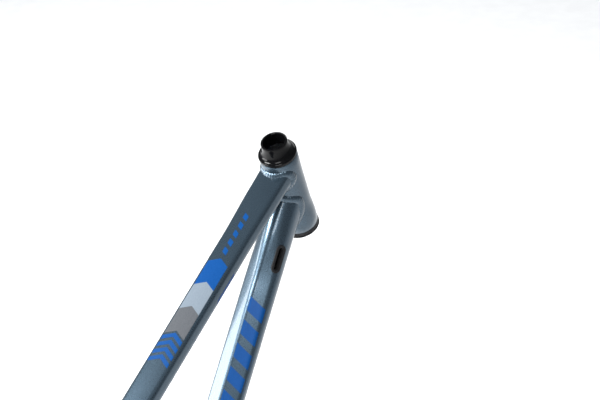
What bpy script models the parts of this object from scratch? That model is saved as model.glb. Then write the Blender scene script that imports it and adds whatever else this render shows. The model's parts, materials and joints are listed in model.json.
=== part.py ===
"""Hardtail mountain bike frame with its headset, bottom bracket, seat clamp and cable ports.

Units are metres and +Z is up. The origin is the centre of the bottom bracket axis, +X points
forward and +Y to the rider's left. Tubes are hollow and mitred to each other; a gap of 0.3 mm
stays between pieces that touch.
"""

import math

import bmesh
import bpy
import numpy as np
from mathutils import Matrix, Vector

# --- Driving dimensions -------------------------------------------------------------------
GAP = 0.0003

HEAD_ANGLE = math.radians(70.5)
SEAT_ANGLE = math.radians(73.0)
HEAD_TOP = Vector((0.385, 0.0, 0.612))
HEAD_LENGTH = 0.128
SEAT_TUBE_LENGTH = 0.400
CHAINSTAY_LENGTH = 0.430
BRACKET_DROP = 0.042
REAR_SPACING = 0.135

TOP_TUBE_DROP = 0.0245
TOP_TUBE_SLOPE = math.radians(27.0)
DOWN_TUBE_DROP = 0.066

HEAD_BORE_R = 0.02215
HEAD_R_TOP = 0.0250
HEAD_R_WAIST = 0.0246
HEAD_R_BOTTOM = 0.0260
STEERER_BORE_R = 0.0145

SEAT_TUBE_R = 0.01745
SEATPOST_BORE_R = 0.0158
SEAT_SLIT_LENGTH = 0.036
SEAT_SLIT_WIDTH = 0.0020
SLIT_END_R = 0.0022

SHELL_R = 0.0200
SHELL_BORE_R = 0.0173
SHELL_HALF = 0.0365

TUBE_WALL = 0.0018
STAY_WALL = 0.0015
SHARP_ANGLE = math.radians(32.0)
CORNER_STEPS = 2
TURN_STEPS = 20
LARGE_TURN_STEPS = 28
SMALL_TURN_STEPS = 12
HEADSET_BALLS = 14
BRACKET_BALLS = 9
BALL_R = 0.0020
CAGE_THICK = 0.0012
BEARING_Y = 0.0280
CUP_NOTCHES = 6
SPINDLE_LENGTH = 0.1225

# Sections along the top tube: share of its length, width, height.
TOP_TUBE_SECTIONS = (
    (0.00, 0.0460, 0.0290),
    (0.08, 0.0445, 0.0280),
    (0.22, 0.0405, 0.0262),
    (0.60, 0.0395, 0.0262),
    (0.86, 0.0365, 0.0290),
    (1.00, 0.0340, 0.0310),
)
# Sections along the down tube: share of its length, width, height of the ridge above the axis,
# height of the shoulders above the axis, depth below the axis, rounding of ridge and shoulders.
DOWN_TUBE_SECTIONS = (
    (0.00, 0.0450, 0.0260, 0.0120, 0.0270, 0.0070, 0.0120),
    (0.07, 0.0460, 0.0250, 0.0115, 0.0260, 0.0060, 0.0120),
    (0.19, 0.0500, 0.0200, 0.0085, 0.0200, 0.0040, 0.0080),
    (0.40, 0.0510, 0.0180, 0.0070, 0.0180, 0.0040, 0.0060),
    (0.70, 0.0510, 0.0175, 0.0085, 0.0180, 0.0120, 0.0070),
    (1.00, 0.0540, 0.0170, 0.0100, 0.0180, 0.0160, 0.0080),
)
TOP_TUBE_RINGS = 4
DOWN_TUBE_RINGS = 5

# Left chainstay and seatstay: centre line points, then width (across the bike) and height.
CHAINSTAY_LINE = (
    (-0.0100, 0.0275, 0.0000),
    (-0.0800, 0.0345, 0.0040),
    (-0.1700, 0.0510, 0.0135),
    (-0.2800, 0.0640, 0.0255),
    (-0.3900, 0.0710, 0.0385),
)
CHAINSTAY_SECTIONS = (
    (0.00, 0.0165, 0.0300),
    (0.30, 0.0165, 0.0250),
    (0.65, 0.0180, 0.0200),
    (1.00, 0.0160, 0.0160),
)
SEATSTAY_LINE = (
    (-0.0980, 0.0130, 0.3310),
    (-0.1480, 0.0340, 0.2985),
    (-0.2150, 0.0540, 0.2400),
    (-0.3100, 0.0665, 0.1530),
    (-0.3980, 0.0710, 0.0725),
)
SEATSTAY_SECTIONS = (
    (0.00, 0.0160, 0.0180),
    (0.30, 0.0160, 0.0180),
    (1.00, 0.0160, 0.0160),
)
STAY_RINGS = 8
STAY_SIDES = 12
STAY_END_R = 0.0080
PLUG_R = 0.0062

DROPOUT_THICK = 0.0070
HANGER_THICK = 0.0050
AXLE_SLOT_R = 0.0051
EYELET_R = 0.0026
HANGER_BOLT_R = 0.0018
SLOT_TILT = math.radians(22.0)
HANGER_BOLTS = ((0.0132, 0.0055), (-0.0100, 0.0085))
HANGER_HOLE = (-0.0085, -0.0275)
HANGER_HOLE_R = 0.0046
DISC_HOLE_SPACING = 0.0510
DISC_FIRST_HOLE = 0.064
DISC_HOLE_LIFT = 0.030
DISC_HOLE_R = 0.0032
DISC_TAB_THICK = 0.0066
DISC_MOUNT_Y = 0.0638

PORT_STATION = 0.092
PORT_ANGLE = math.radians(-62.0)
PORT_LENGTH = 0.034
PORT_WIDTH = 0.0105
PORT_RECESS = 0.0008
PORT_RIM = 0.0020
PORT_END_POINTS = 5
EXIT_STATION = 0.620
EXIT_LENGTH = 0.024
EXIT_WIDTH = 0.0095
BOTTLE_BOLT_SPACING = 0.064
DOWN_TUBE_BOTTLE = 0.452
SEAT_TUBE_BOTTLE = 0.185

COLLAR_HEIGHT = 0.0150
COLLAR_TOP = -0.0012
COLLAR_R = 0.0210
SKEWER_BACK = 0.0270
SKEWER_R = 0.0024
SKEWER_EYE_R = 0.0036
PIN_R = 0.0019
LEVER_PIN_Y = 0.0179
CAM_R = 0.0062
CAM_OFFSET = 0.0006

# --- Derived layout -----------------------------------------------------------------------
STEER_UP = Vector((-math.cos(HEAD_ANGLE), 0.0, math.sin(HEAD_ANGLE)))
SEAT_UP = Vector((-math.cos(SEAT_ANGLE), 0.0, math.sin(SEAT_ANGLE)))
AXLE = Vector((-math.sqrt(CHAINSTAY_LENGTH**2 - BRACKET_DROP**2), 0.0, BRACKET_DROP))
TOP_TUBE_START = HEAD_TOP - STEER_UP * TOP_TUBE_DROP
DOWN_TUBE_START = HEAD_TOP - STEER_UP * DOWN_TUBE_DROP
DROPOUT_Y = REAR_SPACING / 2 + DROPOUT_THICK / 2

COLOURS = {
    "slate_paint": ((0.16, 0.24, 0.31), 0.35, 0.6),
    "black_alloy": ((0.02, 0.02, 0.022), 0.35, 0.7),
    "gloss_black": ((0.012, 0.012, 0.014), 0.12, 0.2),
    "steel": ((0.55, 0.56, 0.58), 0.28, 1.0),
    "zinc_steel": ((0.45, 0.46, 0.48), 0.42, 1.0),
    "ball_steel": ((0.75, 0.75, 0.77), 0.12, 1.0),
    "rubber": ((0.015, 0.015, 0.016), 0.8, 0.0),
}


# --- General tools ------------------------------------------------------------------------
def clear_scene():
    for old in list(bpy.data.objects):
        bpy.data.objects.remove(old, do_unlink=True)


def paint(name):
    """The material of that name, made once."""
    found = bpy.data.materials.get(name)
    if found:
        return found
    colour, roughness, metallic = COLOURS[name]
    material = bpy.data.materials.new(name)
    material.use_nodes = True
    shader = material.node_tree.nodes["Principled BSDF"]
    shader.inputs["Base Color"].default_value = (*colour, 1.0)
    shader.inputs["Roughness"].default_value = roughness
    shader.inputs["Metallic"].default_value = metallic
    return material


def axes(origin, z_axis, y_hint=(0.0, 1.0, 0.0)):
    """A placement whose local Z is z_axis and whose local Y is as near y_hint as it can be."""
    z = Vector(z_axis).normalized()
    x = Vector(y_hint).cross(z).normalized()
    y = z.cross(x)
    matrix = Matrix((x, y, z)).transposed().to_4x4()
    matrix.translation = Vector(origin)
    return matrix


def add(name, bm, colour, place=None):
    """Turns a bmesh into a named object with outward faces and smooth round sides."""
    bmesh.ops.recalc_face_normals(bm, faces=bm.faces)
    mesh = bpy.data.meshes.new(name)
    bm.to_mesh(mesh)
    bm.free()
    mesh.shade_smooth()
    mesh.set_sharp_from_angle(angle=SHARP_ANGLE)
    mesh.materials.append(paint(colour))
    obj = bpy.data.objects.new(name, mesh)
    bpy.context.scene.collection.objects.link(obj)
    if place is not None:
        obj.matrix_world = place
    return obj


def tool(name, bm, place=None):
    """A cutter: kept out of renders and drawn as wire."""
    obj = add(name, bm, "rubber", place)
    obj.hide_render = True
    obj.display_type = "WIRE"
    return obj


def combine(obj, other, operation="DIFFERENCE"):
    modifier = obj.modifiers.new(other.name, "BOOLEAN")
    modifier.operation = operation
    modifier.solver = "EXACT"
    modifier.object = other


def arc(radius, start, end, count):
    """Points on a circle about the origin, from one angle to another."""
    return [Vector((radius * math.cos(a), radius * math.sin(a))) for a in np.linspace(start, end, count)]


def points_2d(*pairs):
    return [Vector(pair) for pair in pairs]


def lathe_into(bm, profile, steps=TURN_STEPS, closed=True):
    """Turns (radius, height) points about local Z. An open profile starts and ends on the axis."""
    circle = arc(1.0, 0.0, math.tau, steps + 1)[:steps]
    rings = []
    for radius, height in profile:
        if radius == 0.0:
            rings.append([bm.verts.new((0.0, 0.0, height))])
            continue
        rings.append([bm.verts.new((radius * p.x, radius * p.y, height)) for p in circle])
    pairs = list(zip(rings, rings[1:]))
    if closed:
        pairs.append((rings[-1], rings[0]))
    for lower, upper in pairs:
        for i in range(steps):
            j = (i + 1) % steps
            below = (lower[i % len(lower)], lower[j % len(lower)])
            above = (upper[j % len(upper)], upper[i % len(upper)])
            unique = list(dict.fromkeys(below + above))
            if len(unique) > 2:
                bm.faces.new(unique)


def turned(name, profile, colour, place, steps=TURN_STEPS, closed=True):
    bm = bmesh.new()
    lathe_into(bm, profile, steps, closed)
    return add(name, bm, colour, place)


def cylinder_tool(name, radius, low, high, place, steps=TURN_STEPS):
    bm = bmesh.new()
    lathe_into(bm, ((0.0, low), (radius, low), (radius, high), (0.0, high)), steps, closed=False)
    return tool(name, bm, place)


def blended(corners, steps=CORNER_STEPS):
    """A closed outline whose corners (x, y, blend) are rounded over the blend length."""
    points = []
    count = len(corners)
    for i, (x, y, blend) in enumerate(corners):
        here = Vector((x, y))
        before = Vector(corners[i - 1][:2]) - here
        after = Vector(corners[(i + 1) % count][:2]) - here
        if blend <= 0:
            points.append(here)
            continue
        start = here + before.normalized() * min(blend, before.length * 0.48)
        end = here + after.normalized() * min(blend, after.length * 0.48)
        for k in range(steps + 1):
            t = k / steps
            points.append(start * (1 - t) ** 2 + here * 2 * t * (1 - t) + end * t**2)
    return points


def inset_outline(points, distance):
    """The same outline moved inwards by a wall thickness."""
    count = len(points)
    area = sum(points[i - 1].cross(points[i]) for i in range(count))
    side = 1.0 if area > 0 else -1.0
    result = []
    for i in range(count):
        along = points[(i + 1) % count] - points[i - 1]
        normal = Vector((-along.y, along.x)).normalized() * side
        result.append(points[i] + normal * distance)
    return result


def prism(outline, low, high):
    """A bmesh of an XY outline extruded along Z."""
    bm = bmesh.new()
    bottom = [bm.verts.new((p[0], p[1], low)) for p in outline]
    face = bm.faces.new(bottom)
    result = bmesh.ops.extrude_face_region(bm, geom=[face])
    moved = [v for v in result["geom"] if isinstance(v, bmesh.types.BMVert)]
    bmesh.ops.translate(bm, verts=moved, vec=(0.0, 0.0, high - low))
    return bm


def loft(outer, inner=None):
    """A closed tube through rings of points: hollow when inner rings are given."""
    bm = bmesh.new()
    walls = []
    for rings in (outer, inner):
        if rings is None:
            continue
        walls.append([[bm.verts.new(p) for p in ring] for ring in rings])
    for rings in walls:
        for a, b in zip(rings, rings[1:]):
            for i in range(len(a)):
                bm.faces.new((a[i - 1], a[i], b[i], b[i - 1]))
    for end in (0, -1):
        if inner is None:
            bm.faces.new(walls[0][end])
            continue
        out_ring, in_ring = walls[0][end], walls[1][end]
        for i in range(len(out_ring)):
            bm.faces.new((out_ring[i - 1], out_ring[i], in_ring[i], in_ring[i - 1]))
    return bm


def interpolate(keys, share):
    """The values between two key sections, eased so that the tube swells smoothly."""
    for low, high in zip(keys, keys[1:]):
        if share <= high[0] or high is keys[-1]:
            t = min(max((share - low[0]) / (high[0] - low[0]), 0.0), 1.0)
            t = t * t * (3 - 2 * t)
            return [a + (b - a) * t for a, b in zip(low[1:], high[1:])]


def smooth_line(points, count):
    """Points and directions, evenly numbered, on a smooth curve through the given points."""
    spots = [Vector(p) for p in points]
    spots = [spots[0] * 2 - spots[1]] + spots + [spots[-1] * 2 - spots[-2]]
    line = []
    for k in range(count):
        u = k / (count - 1) * (len(points) - 1)
        i = min(int(u), len(points) - 2)
        t = u - i
        a, b, c, d = spots[i : i + 4]
        slope = c - a
        bend = a * 2 - b * 5 + c * 4 - d
        twist = b * 3 - a - c * 3 + d
        here = 0.5 * (b * 2 + slope * t + bend * t**2 + twist * t**3)
        ahead = 0.5 * (slope + bend * 2 * t + twist * 3 * t**2)
        line.append((here, ahead.normalized()))
    return line


def smooth_outline(points, count):
    """The same for points in a plane, without the directions."""
    return [spot.xy for spot, _ in smooth_line([(x, y, 0.0) for x, y in points], count)]


# --- Main tubes ---------------------------------------------------------------------------
def head_profile(grow=0.0):
    """Outside of the head tube as (radius, height below the top), top first."""
    return (
        (HEAD_R_TOP - 0.0005 + grow, grow),
        (HEAD_R_TOP + grow, -0.0005),
        (HEAD_R_TOP + grow, -0.0120),
        (HEAD_R_WAIST + grow, -0.0400),
        (HEAD_R_WAIST + grow, -0.0850),
        (HEAD_R_BOTTOM + grow, -HEAD_LENGTH + 0.0120),
        (HEAD_R_BOTTOM + grow, -HEAD_LENGTH + 0.0005),
        (HEAD_R_BOTTOM - 0.0005 + grow, -HEAD_LENGTH - grow),
    )


def head_cutter():
    bm = bmesh.new()
    profile = ((0.0, GAP), *head_profile(GAP), (0.0, -HEAD_LENGTH - GAP))
    lathe_into(bm, profile, LARGE_TURN_STEPS, closed=False)
    return tool("cut_head", bm, axes(HEAD_TOP, STEER_UP))


def head_tube():
    profile = (*head_profile(), (HEAD_BORE_R, -HEAD_LENGTH), (HEAD_BORE_R, 0.0))
    return turned("head_tube", profile, "slate_paint", axes(HEAD_TOP, STEER_UP), LARGE_TURN_STEPS)


def top_tube_outline(width, height):
    """Flat, faintly crowned top, full shoulders and a rounded belly."""
    w, h = width / 2, height / 2
    half = (
        (0.92 * w, 0.93 * h, 0.0055),
        (1.02 * w, -0.30 * h, 0.0065),
        (0.56 * w, -1.00 * h, 0.0055),
    )
    mirrored = tuple((-x, y, blend) for x, y, blend in reversed(half))
    return blended(((0.0, h, 0.0080), *half, *mirrored))


def down_tube_outline(width, ridge, shoulder, depth, ridge_blend, shoulder_blend):
    """A roof with a ridge on the centre line, two shoulders and a round keel."""
    w = width / 2
    half = (
        (w, shoulder, shoulder_blend),
        (0.97 * w, -0.45 * depth, 0.0080),
        (0.45 * w, -depth, 0.0070),
    )
    mirrored = tuple((-x, y, blend) for x, y, blend in reversed(half))
    return blended(((0.0, ridge, ridge_blend), *half, *mirrored))


def straight_tube(name, start, reach, keys, outline, rings):
    """A hydroformed tube: outline(...) at stations along a straight axis that runs back and down."""
    side = Vector((0.0, 1.0, 0.0))
    up = side.cross(reach).normalized()
    stations = sorted({k[0] for k in keys} | {i / (rings - 1) for i in range(rings)})
    outer, inner = [], []
    for share in stations:
        centre = start + reach * share
        shape = outline(*interpolate(keys, share))
        hollow = inset_outline(shape, TUBE_WALL)
        outer.append([centre + side * p.x + up * p.y for p in shape])
        inner.append([centre + side * p.x + up * p.y for p in hollow])
    return add(name, loft(outer, inner), "slate_paint")


def top_tube_reach():
    """The top tube's axis as a vector from the steering axis to the seat tube axis."""
    along = Vector((-math.cos(TOP_TUBE_SLOPE), 0.0, -math.sin(TOP_TUBE_SLOPE)))
    return along * (-TOP_TUBE_START.dot(seat_back()) / along.dot(seat_back()))


def top_tube():
    reach, sections = top_tube_reach(), TOP_TUBE_SECTIONS
    return straight_tube("top_tube", TOP_TUBE_START, reach, sections, top_tube_outline, TOP_TUBE_RINGS)


def down_tube():
    start, sections = DOWN_TUBE_START, DOWN_TUBE_SECTIONS
    return straight_tube("down_tube", start, -start, sections, down_tube_outline, DOWN_TUBE_RINGS)


def down_tube_place(station, angle=0.0):
    """On the down tube's axis: local X runs down it, local Z points out at angle from the ridge."""
    along = -DOWN_TUBE_START.normalized()
    side = Vector((0.0, 1.0, 0.0))
    up = side.cross(along)
    out = up * math.cos(angle) + side * math.sin(angle)
    matrix = Matrix((along, out.cross(along), out)).transposed().to_4x4()
    matrix.translation = DOWN_TUBE_START + along * station
    return matrix


def down_tube_reach(station, angle):
    """Distance from the down tube's axis to its surface in that direction."""
    shape = down_tube_outline(*interpolate(DOWN_TUBE_SECTIONS, station / DOWN_TUBE_START.length))
    return max(p.x * math.sin(angle) + p.y * math.cos(angle) for p in shape)


def seat_tube():
    profile = (
        (SEATPOST_BORE_R, -0.002),
        (SEAT_TUBE_R, -0.002),
        (SEAT_TUBE_R, SEAT_TUBE_LENGTH),
        (SEATPOST_BORE_R, SEAT_TUBE_LENGTH),
    )
    obj = turned("seat_tube", profile, "slate_paint", axes((0.0, 0.0, 0.0), SEAT_UP), LARGE_TURN_STEPS)
    slit_end = SEAT_UP * (SEAT_TUBE_LENGTH - SEAT_SLIT_LENGTH)
    half = SEAT_SLIT_WIDTH / 2
    slit = points_2d((-half, 0.0), (half, 0.0), (half, 0.05), (-half, 0.05))
    combine(obj, tool("cut_seat_slit", prism(slit, 0.0, 0.03), seat_back_place(slit_end)))
    end = cylinder_tool("cut_seat_slit_end", SLIT_END_R, 0.005, 0.03, axes(slit_end, seat_back()), 16)
    combine(obj, end)
    return obj


def seat_back():
    """Direction square to the seat tube, pointing to the rear wheel."""
    return Vector((-SEAT_UP.z, 0.0, SEAT_UP.x))


def seat_back_place(origin):
    """Local X to the rider's right, Y up the seat tube and Z to the rear."""
    matrix = Matrix(((0.0, -1.0, 0.0), SEAT_UP, seat_back())).transposed().to_4x4()
    matrix.translation = origin
    return matrix


def seat_cutter():
    place = axes((0.0, 0.0, 0.0), SEAT_UP)
    return cylinder_tool("cut_seat", SEAT_TUBE_R + GAP, -0.002, SEAT_TUBE_LENGTH, place, LARGE_TURN_STEPS)


def shell_cutter():
    half = SHELL_HALF + 0.001
    return cylinder_tool("cut_shell", SHELL_R + GAP, -half, half, shell_place(), LARGE_TURN_STEPS)


def shell_place():
    """Origin with local Z along +Y, the bottom bracket axis."""
    return axes((0.0, 0.0, 0.0), (0.0, 1.0, 0.0), (0.0, 0.0, 1.0))


def bottom_bracket_shell():
    edge = 0.0006
    profile = (
        (SHELL_BORE_R, -SHELL_HALF),
        (SHELL_R - edge, -SHELL_HALF),
        (SHELL_R, -SHELL_HALF + edge),
        (SHELL_R, SHELL_HALF - edge),
        (SHELL_R - edge, SHELL_HALF),
        (SHELL_BORE_R, SHELL_HALF),
    )
    return turned("bottom_bracket_shell", profile, "slate_paint", shell_place(), LARGE_TURN_STEPS)


# --- Rear triangle ------------------------------------------------------------------------
def mirrored_line(points, side):
    return [(x, y * side, z) for x, y, z in points]


def stay_rings(points, keys, grow=0.0):
    """Rings of an oval tube along a smooth centre line."""
    rings = []
    line = smooth_line(points, STAY_RINGS)
    for k, (centre, along) in enumerate(line):
        width, height = interpolate(keys, k / (STAY_RINGS - 1))
        across = Vector((0.0, 1.0, 0.0))
        across = (across - along * across.dot(along)).normalized()
        up = along.cross(across)
        ring = []
        for p in arc(1.0, 0.0, math.tau, STAY_SIDES + 1)[:STAY_SIDES]:
            sideways = across * ((width / 2 + grow) * p.x)
            ring.append(centre + sideways + up * ((height / 2 + grow) * p.y))
        rings.append(ring)
    return rings


def stay(name, points, keys):
    return add(name, loft(stay_rings(points, keys), stay_rings(points, keys, -STAY_WALL)), "slate_paint")


def stay_cutter(name, points, keys):
    return tool(name, loft(stay_rings(points, keys, GAP)))


def stays(cut_seat, cut_shell):
    """Both chainstays and seatstays, and a cutter of each for what is welded between them."""
    cutters = {}
    for side, word in ((1, "left"), (-1, "right")):
        chain_line = mirrored_line(CHAINSTAY_LINE, side)
        seat_line = mirrored_line(SEATSTAY_LINE, side)
        combine(stay(f"chainstay_{word}", chain_line, CHAINSTAY_SECTIONS), cut_shell)
        combine(stay(f"seatstay_{word}", seat_line, SEATSTAY_SECTIONS), cut_seat)
        cutters["chain_" + word] = stay_cutter("cut_chainstay_" + word, chain_line, CHAINSTAY_SECTIONS)
        cutters["seat_" + word] = stay_cutter("cut_seatstay_" + word, seat_line, SEATSTAY_SECTIONS)
    return cutters


def bridge(name, centre, half_length, radius, cutters):
    """A short tube across the bike, mitred to a pair of stays."""
    profile = (
        (radius - STAY_WALL, -half_length),
        (radius, -half_length),
        (radius, half_length),
        (radius - STAY_WALL, half_length),
    )
    obj = turned(name, profile, "slate_paint", axes(centre, (0.0, 1.0, 0.0), (0.0, 0.0, 1.0)))
    for cutter in cutters:
        combine(obj, cutter)
    return obj


def side_place(y):
    """Over the rear axle with local X forward, local Y up and local Z to the rider's right."""
    matrix = Matrix(((1, 0, 0), (0, 0, 1), (0, -1, 0))).transposed().to_4x4()
    matrix.translation = Vector((AXLE.x, y, AXLE.z))
    return matrix


def axle_slot_cutter():
    """The slot that an axle drops into, open at the lower front."""
    r, reach = AXLE_SLOT_R, 0.040
    outline = arc(r, 0.0, math.pi, 11) + points_2d((-r, -reach), (r, -reach))
    turn = Matrix.Rotation(SLOT_TILT, 2)
    return tool("cut_axle_slot", prism([turn @ p for p in outline], -0.1, 0.1), side_place(0.0))


def dropout_outline():
    """Plate around the axle with a tab to each stay; X forward and Y up from the axle."""
    return blended(
        (
            (0.0330, -0.0105, 0.002),
            (0.0345, 0.0035, 0.002),
            (0.0215, 0.0085, 0.006),
            (0.0330, 0.0245, 0.002),
            (0.0245, 0.0338, 0.002),
            (0.0080, 0.0205, 0.006),
            (-0.0065, 0.0175, 0.005),
            (-0.0150, 0.0100, 0.005),
            (-0.0175, -0.0010, 0.005),
            (-0.0150, -0.0110, 0.005),
            (-0.0070, -0.0170, 0.003),
            (0.0060, -0.0185, 0.003),
            (0.0180, -0.0135, 0.004),
        )
    )


def stub(name, stay_end, back_along):
    """Round end that plugs into a stay: shoulder, then a spigot inside the tube."""
    bm = bmesh.new()
    profile = (
        (0.0, -0.0100),
        (0.0035, -0.0100),
        (STAY_END_R, -0.0015),
        (STAY_END_R, -GAP),
        (PLUG_R, -GAP),
        (PLUG_R, 0.0060),
        (0.0, 0.0060),
    )
    lathe_into(bm, profile, STAY_SIDES, closed=False)
    return tool(name, bm, axes(stay_end, back_along))


def dropout(word, side, slot):
    """Forged rear end: plate, two plug-in stubs, axle slot and an eyelet."""
    plate = prism(dropout_outline(), -DROPOUT_THICK / 2, DROPOUT_THICK / 2)
    obj = add(f"dropout_{word}", plate, "slate_paint", side_place(DROPOUT_Y * side))
    for label, line in (("chain", CHAINSTAY_LINE), ("seat", SEATSTAY_LINE)):
        end, along = smooth_line(mirrored_line(line, side), STAY_RINGS)[-1]
        combine(obj, stub(f"stub_{label}_{word}", end, -along), "UNION")
    combine(obj, slot)
    eyelet = side_place(0.0) @ Matrix.Translation((0.0215, -0.0035, 0.0))
    combine(obj, cylinder_tool(f"cut_eyelet_{word}", EYELET_R, -0.1, 0.1, eyelet, SMALL_TURN_STEPS))
    return obj


def derailleur_hanger(slot, bolt_holes):
    """Replaceable plate on the outside of the right dropout, with the derailleur's hole."""
    outline = blended(
        (
            (0.0110, -0.0125, 0.003),
            (0.0190, 0.0010, 0.004),
            (0.0180, 0.0095, 0.004),
            (0.0110, 0.0140, 0.004),
            (-0.0010, 0.0150, 0.005),
            (-0.0130, 0.0130, 0.005),
            (-0.0155, 0.0030, 0.005),
            (-0.0170, -0.0120, 0.006),
            (-0.0180, -0.0330, 0.008),
            (-0.0040, -0.0385, 0.008),
            (0.0015, -0.0260, 0.006),
            (-0.0020, -0.0150, 0.003),
        )
    )
    y = -(REAR_SPACING / 2 + DROPOUT_THICK + GAP + HANGER_THICK / 2)
    plate = prism(outline, -HANGER_THICK / 2, HANGER_THICK / 2)
    obj = add("derailleur_hanger", plate, "black_alloy", side_place(y))
    combine(obj, slot)
    hole = side_place(0.0) @ Matrix.Translation((*HANGER_HOLE, 0.0))
    combine(obj, cylinder_tool("cut_hanger_hole", HANGER_HOLE_R, 0.05, 0.12, hole))
    for cutter in bolt_holes:
        combine(obj, cutter)
    return obj


def hanger_bolt_holes():
    """Clearance for the two bolts, on the right side only."""
    holes = []
    for k, (x, z) in enumerate(HANGER_BOLTS):
        place = side_place(0.0) @ Matrix.Translation((x, z, 0.0))
        name = f"cut_hanger_bolt_{k}"
        holes.append(cylinder_tool(name, HANGER_BOLT_R + GAP, 0.05, 0.12, place, SMALL_TURN_STEPS))
    return holes


def socket_bolt(name, place, shank_r, length, head_r, head_h):
    """A socket-head bolt whose head seats at local z = 0 and whose shank runs to -length."""
    profile = (
        (0.0, -length),
        (shank_r, -length),
        (shank_r, 0.0),
        (head_r, 0.0),
        (head_r - 0.0003, head_h),
        (head_r * 0.55, head_h),
        (head_r * 0.55, head_h * 0.35),
        (0.0, head_h * 0.35),
    )
    return turned(name, profile, "zinc_steel", place, SMALL_TURN_STEPS, closed=False)


def hanger_bolts():
    outside = -(REAR_SPACING / 2 + DROPOUT_THICK + HANGER_THICK + 2 * GAP)
    for (x, z), word in zip(HANGER_BOLTS, ("front", "rear")):
        place = side_place(outside) @ Matrix.Translation((x, z, 0.0))
        socket_bolt(f"hanger_bolt_{word}", place, HANGER_BOLT_R, 0.0105, 0.0034, 0.0024)


def seatstay_axis():
    """Unit vectors along the lower seatstay (up the stay) and square to it (towards the rear)."""
    low, high = Vector(SEATSTAY_LINE[-1]), Vector(SEATSTAY_LINE[-2])
    along = Vector((high.x - low.x, high.z - low.z)).normalized()
    return along, Vector((-along.y, along.x))


def disc_brake_mount(cut_seatstay):
    """Two-hole tab for a disc brake caliper, standing on the left seatstay."""
    along, rear = seatstay_axis()
    first, lift = DISC_FIRST_HOLE, DISC_HOLE_LIFT
    last = first + DISC_HOLE_SPACING
    middle = (first + last) / 2
    rough = (
        (first - 0.018, 0.002, 0.0),
        (first - 0.011, lift + 0.001, 0.006),
        (first + 0.001, lift + 0.010, 0.006),
        (first + 0.012, lift - 0.002, 0.008),
        (middle, lift - 0.010, 0.010),
        (last - 0.012, lift - 0.002, 0.008),
        (last - 0.001, lift + 0.010, 0.006),
        (last + 0.011, lift + 0.001, 0.006),
        (last + 0.018, 0.002, 0.0),
    )
    outline = [along * p.x + rear * p.y for p in blended(rough)]
    place = side_place(DISC_MOUNT_Y)
    half = DISC_TAB_THICK / 2
    obj = add("disc_brake_mount", prism(outline, -half, half), "slate_paint", place)
    combine(obj, cut_seatstay)
    for k, distance in enumerate((first, last)):
        spot = along * distance + rear * lift
        hole = place @ Matrix.Translation((spot.x, spot.y, 0.0))
        combine(obj, cylinder_tool(f"cut_disc_hole_{k}", DISC_HOLE_R, -0.01, 0.01, hole, 16))
    return obj


def chainstay_cable_stop():
    """A stepped barrel under the right chainstay that anchors the gear cable's housing."""
    chain_spot, chain_along = smooth_line(mirrored_line(CHAINSTAY_LINE, -1), 41)[27]
    place = axes(chain_spot, chain_along)
    down = Vector((0.0, 0.0, -1.0))
    down = (down - chain_along * down.dot(chain_along)).normalized()
    place.translation = chain_spot + down * 0.0140
    profile = (
        (0.0016, -0.0060),
        (0.0037, -0.0060),
        (0.0037, 0.0060),
        (0.0028, 0.0060),
        (0.0028, -0.0030),
        (0.0016, -0.0030),
    )
    return turned("chainstay_cable_stop", profile, "slate_paint", place, SMALL_TURN_STEPS)


# --- Headset ------------------------------------------------------------------------------
def headset_upper_cup(place):
    profile = (
        (0.0205, 0.0016),
        (0.0246, 0.0016),
        (0.0246, 0.0003),
        (0.02185, 0.0003),
        (0.02185, -0.0080),
        (0.0198, -0.0080),
        (0.0198, -0.0060),
        (0.0164, -0.0060),
        (0.0164, -0.0040),
        (0.0192, -0.0040),
        (0.0205, -0.0026),
    )
    return turned("headset_upper_cup", profile, "black_alloy", place)


def headset_upper_cone(place):
    profile = (
        (STEERER_BORE_R + 0.0004, -0.0032),
        (STEERER_BORE_R + 0.0004, 0.0002),
        (0.0170, 0.0030),
        (0.0196, 0.0030),
        (0.0196, 0.0005),
        (0.0174, 0.0005),
        (0.0160, -0.0010),
        (0.0160, -0.0032),
    )
    return turned("headset_upper_cone", profile, "steel", place)


def compression_ring(place):
    """Split wedge ring that centres the cover on the steerer."""
    profile = ((STEERER_BORE_R, 0.0004), (STEERER_BORE_R, 0.0055), (0.0166, 0.0055), (0.0166, 0.0030))
    obj = turned("headset_compression_ring", profile, "steel", place)
    half = 0.0008
    split = points_2d((-0.03, -half), (-0.01, -half), (-0.01, half), (-0.03, half))
    combine(obj, tool("cut_ring_split", prism(split, -0.01, 0.02), place))
    return obj


def cover_curve(steps=4):
    """The concave flare from the cover's rim up to its neck."""
    low, high = Vector((0.0246, 0.0058)), Vector((0.0174, 0.0205))
    points = []
    for a in np.linspace(0.0, math.pi / 2, steps + 1):
        radius = low.x + (high.x - low.x) * math.sin(a)
        height = high.y + (low.y - high.y) * math.cos(a)
        points.append((radius, height))
    return points


def headset_top_cover(place):
    """Tall flared dust cover that shows above the head tube."""
    profile = (
        (0.0232, 0.0022),
        (0.0248, 0.0022),
        (0.0254, 0.0028),
        (0.0254, 0.0048),
        *cover_curve(),
        (0.0174, 0.0235),
        (0.0169, 0.0240),
        (STEERER_BORE_R, 0.0240),
        (STEERER_BORE_R, 0.0060),
        (0.0195, 0.0060),
        (0.0232, 0.0040),
    )
    return turned("headset_top_cover", profile, "gloss_black", place, LARGE_TURN_STEPS)


def headset_lower_cup(place):
    profile = (
        (0.02185, 0.0080),
        (0.02185, -0.0003),
        (0.0262, -0.0003),
        (0.0262, -0.0046),
        (0.0212, -0.0046),
        (0.0212, -0.0016),
        (0.0200, -0.0006),
        (0.0170, -0.0006),
        (0.0170, 0.0014),
        (0.0196, 0.0014),
        (0.0196, 0.0080),
    )
    return turned("headset_lower_cup", profile, "black_alloy", place)


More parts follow.
